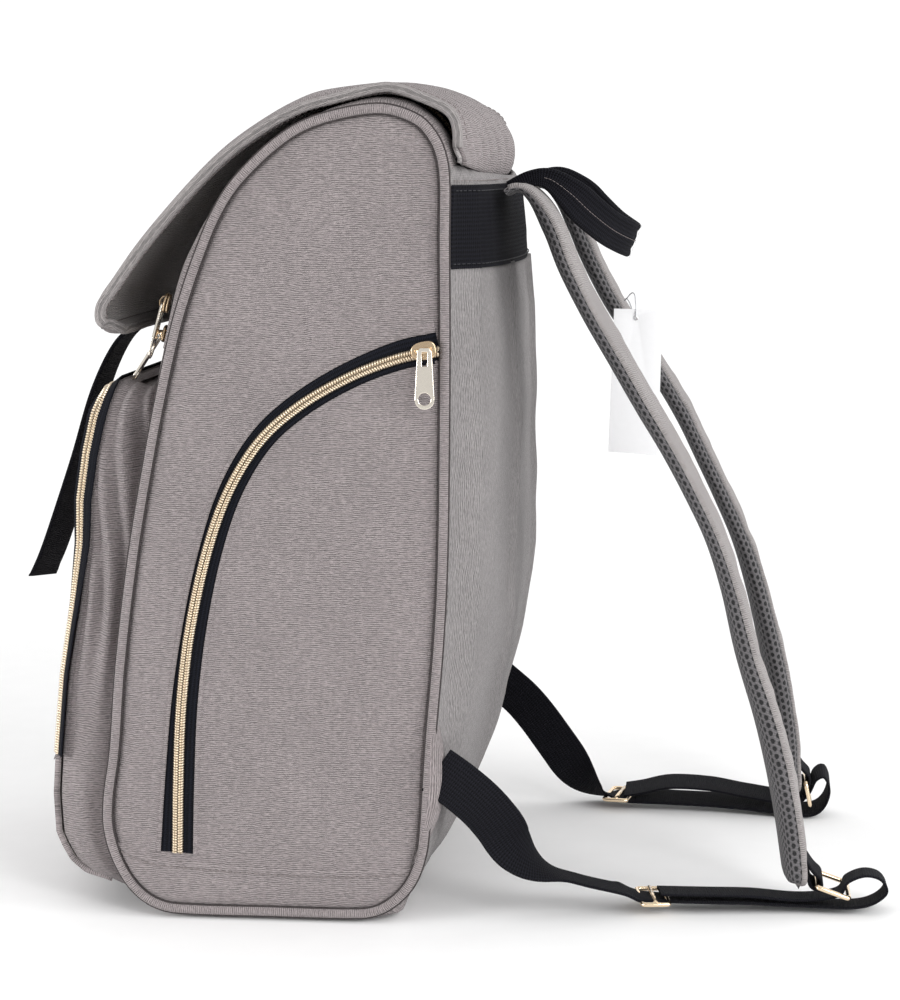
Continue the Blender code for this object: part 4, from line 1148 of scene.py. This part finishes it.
def flap():
    line = curve(FLAP, 130)
    s = lengths(line)
    n = normals(line, (0.02, 0.3))
    total = s[-1]

    def surface(i, x, lift):
        """Pleats run forward from the gathered rear seam, and the rear follows the back's crown."""
        d = s[i]
        inner = smoothstep(0.131, 0.122, abs(x))
        pleat = sum(math.exp(-((abs(x) - c - 0.1 * d * k) / 0.0044) ** 2) * math.exp(-d / r)
                    for c, k, r in PLEATS)
        fold = inner * (0.0011 * wob(x, d, 0, 17, 9.9) - 0.0034 * pleat + 0.0014 * math.exp(-d / 0.04))
        fold += 0.0026 * (1 - (x / FLAP_X) ** 2) * math.exp(-(d - 0.02) ** 2 / 0.003)
        edge = smoothstep(0.1, 0.1315, abs(x))
        drop = edge * (0.005 * smoothstep(0.055, 0.1, d) - 0.0034 * math.exp(-((d - 0.026) / 0.012) ** 2))
        q = line[i] + n[i] * (lift + fold * smoothstep(-0.004, 0.01, d) - drop)
        out = (x / FLAP_X) ** 2
        crown = (0.0055 * (1 - out) - 0.0045 * out * smoothstep(0, 0.01, d)) * math.exp(-(d / 0.034) ** 2)
        return (x, q[0] + crown, q[1] - SEAM_DIP * (1 - out) * smoothstep(0.012, 0.0, d))

    def half_at(i):
        r, d = FLAP_R, total - s[i]
        return FLAP_X - (r - math.sqrt(max(r * r - (r - d) ** 2, 0))) if d < r else FLAP_X

    def edge_walk(first, last, inset, across):
        """Row and X of points round the free edge: down one side, across the front, back up the other."""
        one = [(i, half_at(i) - inset) for i in range(first, last + 1)]
        front = [(last, x) for x in np.linspace(one[-1][1], -one[-1][1], across)[1:-1]]
        return one + front + [(i, -x) for i, x in reversed(one)]

    cols = np.sin(np.linspace(-math.pi / 2, math.pi / 2, 150))
    # the lining sheet wears the lighter underside cloth: painted light
    for name, lift, mats, node in (("flap_shell_cloth", 0.0, [CLOTH, CLOTH], "flap_shell"),
                                   ("flap_lining_cloth", -0.0024, [CLOTH_UNDER_PAINTED_LIGHT, CLOTH_UNDER_PAINTED_LIGHT], "flap_lining")):
        rows = [[surface(i, x * half_at(i), lift) for x in cols] for i in range(len(line))]
        o = outward(grid(name, rows, mats), (0, 0.02, 0.3))
        thick(o, 0.0022, -1)
        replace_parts(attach(o, "flap"), node)
    # bound edge: a soft roll round the free rim, and two rows of stitches inside it
    rim = curve([surface(i, x, -0.0023) for i, x in edge_walk(4, len(line) - 1, 0.0, 40)], 420)
    o = sweep("flap_bound_edge", rim, (1, 0.2, 0.1), oval(0.005, 0.005, 12), [CLOTH_STRAP], swap=True)
    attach(o, "flap")
    walk = edge_walk(6, len(line) - 6, 0.0058, 30)
    for name, lift, sign in (("flap_stitches_top", 0.0, 1), ("flap_stitches_under", -0.0048, -1)):
        path = [surface(i, x, lift) for i, x in walk]
        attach(stitches(name, path, np.array([(0, *(n[i] * sign)) for i, x in walk]), THREAD), "flap")
    p = curve([(0.0, y, z) for y, z in FLAP_STRAP], 60)
    turn = smoothstep(0.0, 1.0, np.linspace(0, 1, 60))[:, None]
    o = sweep("flap_closure_strap", p, np.array([(1.0, 0, 0)]) * (1 - turn) + np.array([(1.0, -0.16, 0)]) * turn,
              flat(0.038, 0.002), [BLACK])
    for v in o.data.vertices:
        if v.co.z < 0.153:
            v.co.z += 0.001 * (v.co.x / 0.019)
    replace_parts(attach(o, "flap_tongue"), "flap_strap")


# ---------------------------------------------------------------- harness and handle
def strap_x(z, floor):
    t = np.clip((z - 0.02) / 0.34, 0.0, 1.0)
    return floor + (0.07 - floor) * t


def handle():
    pts = [(0.05, 0.103, 0.364), (0.05, 0.113, 0.369), (0.0495, 0.123, 0.369), (0.046, 0.133, 0.362),
           (0.037, 0.143, 0.352), (0.022, 0.154, 0.3425), (0.0, 0.164, 0.3365)]
    pts += [(-x, y, z) for x, y, z in pts[-2::-1]]
    p = curve(pts, 120)
    at = np.linspace(0, 1, 120)
    wide = 0.42 + 0.58 * smoothstep(0.04, 0.24, np.minimum(at, 1 - at))
    size = np.stack([wide, np.ones(120)], 1)
    lobes = [(w, h * (0.72 + 0.28 * math.cos(math.pi * w / 0.0042)) if h > 0 else h)
             for w, h in oval(0.019, 0.0052, 28, 3.2)]
    across = (0.0, 0.35, 0.93)
    o = sweep("carry_handle_webbing", p, across, lobes, [BLACK], size=size)
    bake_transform(o)
    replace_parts(o, "carry_handle")
    _, w, n = frames(p, across)
    o = stitches("handle_stitches", (p + n * 0.0018)[12:-12], n[12:-12], THREAD, 0.0022, 0.002, 0.00018)
    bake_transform(o)
    mid = 59
    tip = [p[mid] + n[mid] * 0.0022 + w[mid] * k for k in np.linspace(-0.0085, 0.0085, 14)]
    o = stitches("handle_tip_stitches", tip, n[mid], CARD, 0.003, 0.0024, 0.00026)
    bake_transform(o)


def strap(side, s):
    floor = STRAP_FLOOR_X[side]
    body = "strap_" + side
    line = [(s * strap_x(z, floor), y, z) for y, z in STRAP_LINE[side]]
    p = curve(line, 150)
    d = lengths(p)
    total = d[-1]
    turn = smoothstep(0.45 * total, total, d)[:, None]
    t, w, n = frames(p, np.array([(1.0, 0, 0)]) + turn * np.array([(0, 0.07, 0)]))
    if n[60][1] < 0:
        n = -n
    # full width between a narrow sewn root and the tapered end
    end_round = np.sqrt(np.clip(1 - np.clip((d - total + 0.009) / 0.0091, 0, 1) ** 2, 0.03, 1))
    width = (0.05 + 0.01 * smoothstep(0.0, 0.05, d) - 0.02 * smoothstep(total - 0.06, total - 0.008, d)) * end_round
    body_t = (0.0045 + 0.0065 * smoothstep(0.0, 0.035, d) + 0.0035 * smoothstep(0.5 * total, 0.8 * total, d)
              - 0.001 * smoothstep(total - 0.04, total, d)) * end_round ** 0.7
    seam = math.radians(20 if side == "R" else 42)
    inner_seam = math.radians(20)

    def ring(i, angles):
        row = []
        for a in angles:
            c, h = math.cos(a), math.sin(a)
            e = math.copysign(abs(h) ** 0.8, h) * (0.4 if h > 0 else 0.56) * body_t[i]
            pucker = 0.0011 * wob(d[i] * 42, c * 0.7, 0, 1.0, 3.3 + s)
            pucker += 0.0007 * wob(d[i] * 110, c, 0, 1.0, 7.1 + s)
            w_out = math.copysign(abs(c) ** 0.75, c) * (width[i] / 2 + (pucker if h > -0.2 else 0.0))
            row.append(p[i] + w[i] * w_out + n[i] * (e + pucker * max(h, 0)))
        return row

    top = np.linspace(seam, math.pi - inner_seam, 30)
    under = np.linspace(math.pi - inner_seam, 2 * math.pi + seam, 44)
    cover = face_towards(grid("cover", [ring(i, top) for i in range(len(p))], [CLOTH_STRAP]), tuple(n[60]))
    inner = face_towards(grid("inner", [ring(i, under) for i in range(len(p))], [MESH]), tuple(-n[60]))
    caps = []
    for i in (0, len(p) - 1):
        loop = ring(i, np.linspace(0, 2 * math.pi, 40, endpoint=False))
        hub = np.mean(loop, axis=0) + t[i] * (0.004 if i else -0.001)
        faces = [(40, k, (k + 1) % 40) for k in range(40)]
        caps.append(outward(new_mesh("cap", [*loop, hub], faces, [(0, 0)] * 41, [CLOTH_STRAP]), tuple(p[75])))
    pad = join("shoulder_strap_" + side + "_pad", [cover, inner, *caps])
    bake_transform(pad)
    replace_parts(pad, "shoulder_pad_" + side, "shoulder_mesh_" + side)
    # the cover's edge is folded over the mesh as a soft welt down both sides and round the end
    welt = [ring(i, [seam])[0] for i in range(1, len(p))]
    welt += [ring(i, [math.pi - inner_seam])[0] for i in range(len(p) - 1, 0, -1)]
    o = sweep("shoulder_strap_" + side + "_welt", curve(welt, 460), (0, 0.8, 0.6), oval(0.003, 0.003, 10),
              [CLOTH_STRAP])
    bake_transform(o)
    lower_harness(side, s, floor, body)


def wire_ring(name, corners, normal, r, mat, fillet=0.0022):
    """A closed rectangle of round wire with soft corners."""
    pts = []
    m = len(corners)
    for i in range(m):
        a, b, c = (np.array(corners[(i + k - 1) % m], float) for k in range(3))
        u, v = unit(a - b), unit(c - b)
        for f in np.linspace(0, 1, 6):
            q0, q1 = b + u * fillet, b + v * fillet
            pts.append((1 - f) ** 2 * q0 + 2 * f * (1 - f) * b + f * f * q1)
    return sweep(name, np.array(pts), normal, oval(2 * r, 2 * r, 12), [mat], closed=True)


def lower_harness(side, s, floor, body):
    x = s * floor
    top, upper, lower = (np.array((x, *q)) for q in STRAP_END[side])
    # short webbing loop out of the pad's end, round the ring's upper bar
    bar = unit(upper - top)
    off = np.cross((1.0, 0, 0), bar)
    loop = [top + off * 0.0012, upper - bar * 0.008 + off * 0.0016, upper - bar * 0.001 + off * 0.003,
            upper + bar * 0.003, upper - bar * 0.001 - off * 0.003, upper - bar * 0.008 - off * 0.0016,
            top - off * 0.0012]
    o = sweep("pad_end_loop_" + side + "_webbing", curve(loop, 60), (1, 0, 0), flat(WEB_WIDE, 0.0016), [BLACK])
    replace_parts(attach(o, body), "pad_end_loop_" + side)
    reach = np.array((0.0155, 0, 0))  # half the ring's width
    o = wire_ring("strap_ring_" + side + "_wire", [upper - reach, upper + reach, lower + reach, lower - reach],
                  np.cross((1.0, 0, 0), unit(lower - upper)), 0.0013, RING)
    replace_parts(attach(o, body), "strap_ring_" + side)
    gy = GLIDE_Y[side]
    run = [(s * a, y, z) for a, y, z in WEB_RUN[side]]
    run += [(x + s * 0.007, 0.21, 0.004), (x + s * 0.004, 0.23, 0.0034)]
    run += [(x, y, z) for y, z in FOLD[side]]
    run += [(x + s * 0.004, 0.23, 0.007 + FAR_ARCH[side] * 0.6), (x + s * 0.0068, 0.208, 0.0076 + FAR_ARCH[side])]
    if side == "L":
        run += [(x + s * 0.008, 0.185, 0.008 + FAR_ARCH[side]), (x + s * 0.0092, 0.168, 0.01)]
    run += [(x + s * 0.0096, gy + 0.0062, 0.0082)]
    p = curve(run, 340)
    d = lengths(p)
    on_edge = unit(np.cross(tangents(p), np.array((s, 0.12, 0.1))))
    on_edge *= np.where(on_edge[:, 2] < 0, -1, 1)[:, None]
    flat_on = np.array((1.0, 0, 0.1 * s))
    roll = smoothstep(*ROLL[side], d)[:, None]
    across = on_edge * np.cos(roll * math.pi / 2) - s * flat_on * np.sin(roll * math.pi / 2)
    o = sweep("adjuster_webbing_" + side + "_strap", p, across, flat(WEB_WIDE, 0.0014), [BLACK])
    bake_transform(o)
    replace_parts(o, "adjuster_webbing_" + side)
    # tri-glide: wire frame with a middle bar, lying over the webbing
    gx = x + s * 0.0097
    c = np.array((gx, gy + 0.003, 0.0052))
    fwd = unit(np.array((-s * 0.15, 1.0, 0.0)))
    w = np.cross(fwd, (0, 0, 1.0))
    w = w if w[0] > 0 else -w
    a, b = 0.0152, 0.0068
    outer = wire_ring("outer", [c - w * a - fwd * b, c + w * a - fwd * b, c + w * a + fwd * b, c - w * a + fwd * b],
                      (0, 0, 1), 0.0012, RING)
    bar = sweep("bar", np.array([c - w * a, c + w * a]) + np.array((0, 0, 0.0006)), (0, 0, 1),
                oval(0.0024, 0.0024, 12), [RING])
    o = join("tri_glide_" + side + "_wire", [outer, bar])
    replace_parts(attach(o, "glide_" + side), "tri_glide_" + side)
    tab(side, s)


def tab(side, s):
    """Folded cloth triangle sewn into the lower rear seam, holding the webbing."""
    rows = []
    for t in np.linspace(0, 1, 40):
        z = 0.108 + (0.03 - 0.108) * t
        mid = math.sin(math.pi * min(t * 1.05, 1)) ** 0.8
        y0 = float(np.interp(z, [0.03, 0.06, 0.11], [0.064, 0.069, 0.0715]))
        row = []
        for k in np.linspace(0, 1, 10):
            y = y0 + (0.008 * mid + 0.001) * k
            x = HALF + 0.0022 + 0.0012 * math.sin(math.pi * k) * mid - 0.005 * k * k
            x += 0.001 * math.sin(9 * t + 4 * k) * mid * k
            row.append((s * x, y, z))
        rows.append(row)
    o = face_towards(grid("strap_tab_" + side + "_cloth", rows, [CLOTH_PIPE], swap=True), (s, 0, 0))
    thick(o, 0.0016, -1)
    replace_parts(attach(o, "bag"), "strap_tab_" + side)


def tag():
    lo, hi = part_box("hang_tag")
    w, h = hi.y - lo.y, hi.z - lo.z
    cy = (lo.y + hi.y) / 2 - 0.0045
    outer = [(-w / 2 - 0.001, -h / 2 + 0.002), (w / 2 - 0.0015, -h / 2), (w / 2, h / 2 - 0.0005),
             (-w / 2 + 0.0015, h / 2)]
    eye = [(-0.0005 + 0.0016 * math.cos(a), h / 2 - 0.0048 + 0.0016 * math.sin(a))
           for a in np.linspace(0, 2 * math.pi, 21)[:-1]]
    m = axes_matrix(Vector((0, 1, 0)), Vector((0, 0, 1)), X, ((lo.x + hi.x) / 2, cy, (lo.z + hi.z) / 2))
    o = plate_from("hang_tag_card", [outer, eye], 0.0005, 0.0001, CARD, m)
    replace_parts(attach(o, "tag"), "hang_tag")
    loop = curve([(-0.046, 0.159, 0.302), (-0.04, 0.1625, 0.306), (-0.034, 0.1645, 0.305),
                  (-0.03, 0.1652, 0.2985), (-0.0292, 0.1652, 0.293), (-0.0302, 0.1645, 0.2925),
                  (-0.0345, 0.1625, 0.299), (-0.04, 0.16, 0.303), (-0.0455, 0.1585, 0.3015)], 60)
    o = sweep("tag_fastener_loop", loop, (0, 0, 1), oval(0.0007, 0.0007, 8), [NYLON])
    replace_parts(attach(o, "tag"), "tag_fastener")


# ---------------------------------------------------------------- stage, light, camera
CAMERA_AT = (1.44089, 0.21829, 0.38396)
CAMERA_ANGLES = (96.0, 7.4)  # azimuth and elevation of the direction from the bag to the camera, in degrees
CAMERA_LENS = 97.2  # millimetres
FLOOR_R = 1.1


def stage():
    n = 48
    verts = [(0, 0, 0)]
    verts += [(FLOOR_R * math.cos(a), FLOOR_R * math.sin(a), 0) for a in (2 * math.pi * k / n for k in range(n))]
    faces = [(0, 1 + k, 1 + (k + 1) % n) for k in range(n)]
    pale = Mat("floor_pale", (0.92, 0.92, 0.92), 0.95)
    away = pale.n("VectorMath", {0: pale.n("TexCoord").outputs["Object"]}, operation="LENGTH").outputs["Value"]
    grain = pale.noise(1, 1, 3.0, where=pale.n("VectorMath", {0: pale.n("TexCoord").outputs["Object"], 3: 40.0},
                                               operation="SCALE").outputs[0])
    pale.colour(pale.mix(grain, (0.9, 0.9, 0.9), (0.94, 0.94, 0.94)))
    pale.t.links.new(pale.ramp(away, 1.05, 0.5), pale.b.inputs["Alpha"])
    floor = new_mesh("floor", verts, faces, None, [pale.m])
    floor.location.z = -0.0015
    world = bpy.data.worlds.new("world")
    bpy.context.scene.world = world
    world.use_nodes = True
    tree = world.node_tree
    where = tree.nodes.new("ShaderNodeTexCoord")
    axes = tree.nodes.new("ShaderNodeSeparateXYZ")
    fade = tree.nodes.new("ShaderNodeMapRange")
    for k, v in ((1, -0.25), (2, 0.75), (3, 1.08), (4, 0.66)):
        fade.inputs[k].default_value = v
    bg = tree.nodes["Background"]
    bg.inputs[0].default_value = (1, 1, 1, 1)
    tree.links.new(where.outputs["Generated"], axes.inputs[0])
    tree.links.new(axes.outputs[0], fade.inputs[0])
    tree.links.new(fade.outputs[0], bg.inputs[1])

    def area(name, at, to, size, power):
        lamp = bpy.data.lights.new(name, "AREA")
        lamp.shape = "RECTANGLE"
        lamp.size, lamp.size_y = size
        lamp.energy = power
        o = bpy.data.objects.new(name, lamp)
        o.location = at
        o.rotation_euler = (Vector(to) - Vector(at)).to_track_quat("-Z", "Y").to_euler()
        bpy.context.scene.collection.objects.link(o)

    area("soft_key", (1.7, 1.1, 1.1), (0.1, 0, 0.2), (0.7, 0.7), 15)
    area("soft_front", (1.0, -1.5, 0.35), (0, -0.05, 0.25), (0.9, 0.6), 20)
    area("soft_rear", (0.7, 1.6, 0.55), (0, 0.12, 0.22), (0.9, 0.9), 15)

    cam = bpy.data.cameras.new("camera")
    cam.lens, cam.sensor_width = CAMERA_LENS, 36
    cam.clip_start = 0.05
    o = bpy.data.objects.new("camera", cam)
    o.location = CAMERA_AT
    az, el = map(math.radians, CAMERA_ANGLES)
    backward = Vector((math.sin(az) * math.cos(el), -math.cos(az) * math.cos(el), math.sin(el)))
    o.rotation_euler = backward.to_track_quat("Z", "Y").to_euler()
    bpy.context.scene.collection.objects.link(o)
    bpy.context.scene.camera = o
    bpy.context.scene.view_settings.view_transform = "Standard"


side_panels()
body_skins()
back()
pocket()
flap()
handle()
for side_, s_ in SIDES:
    strap(side_, s_)
tag()
stage()
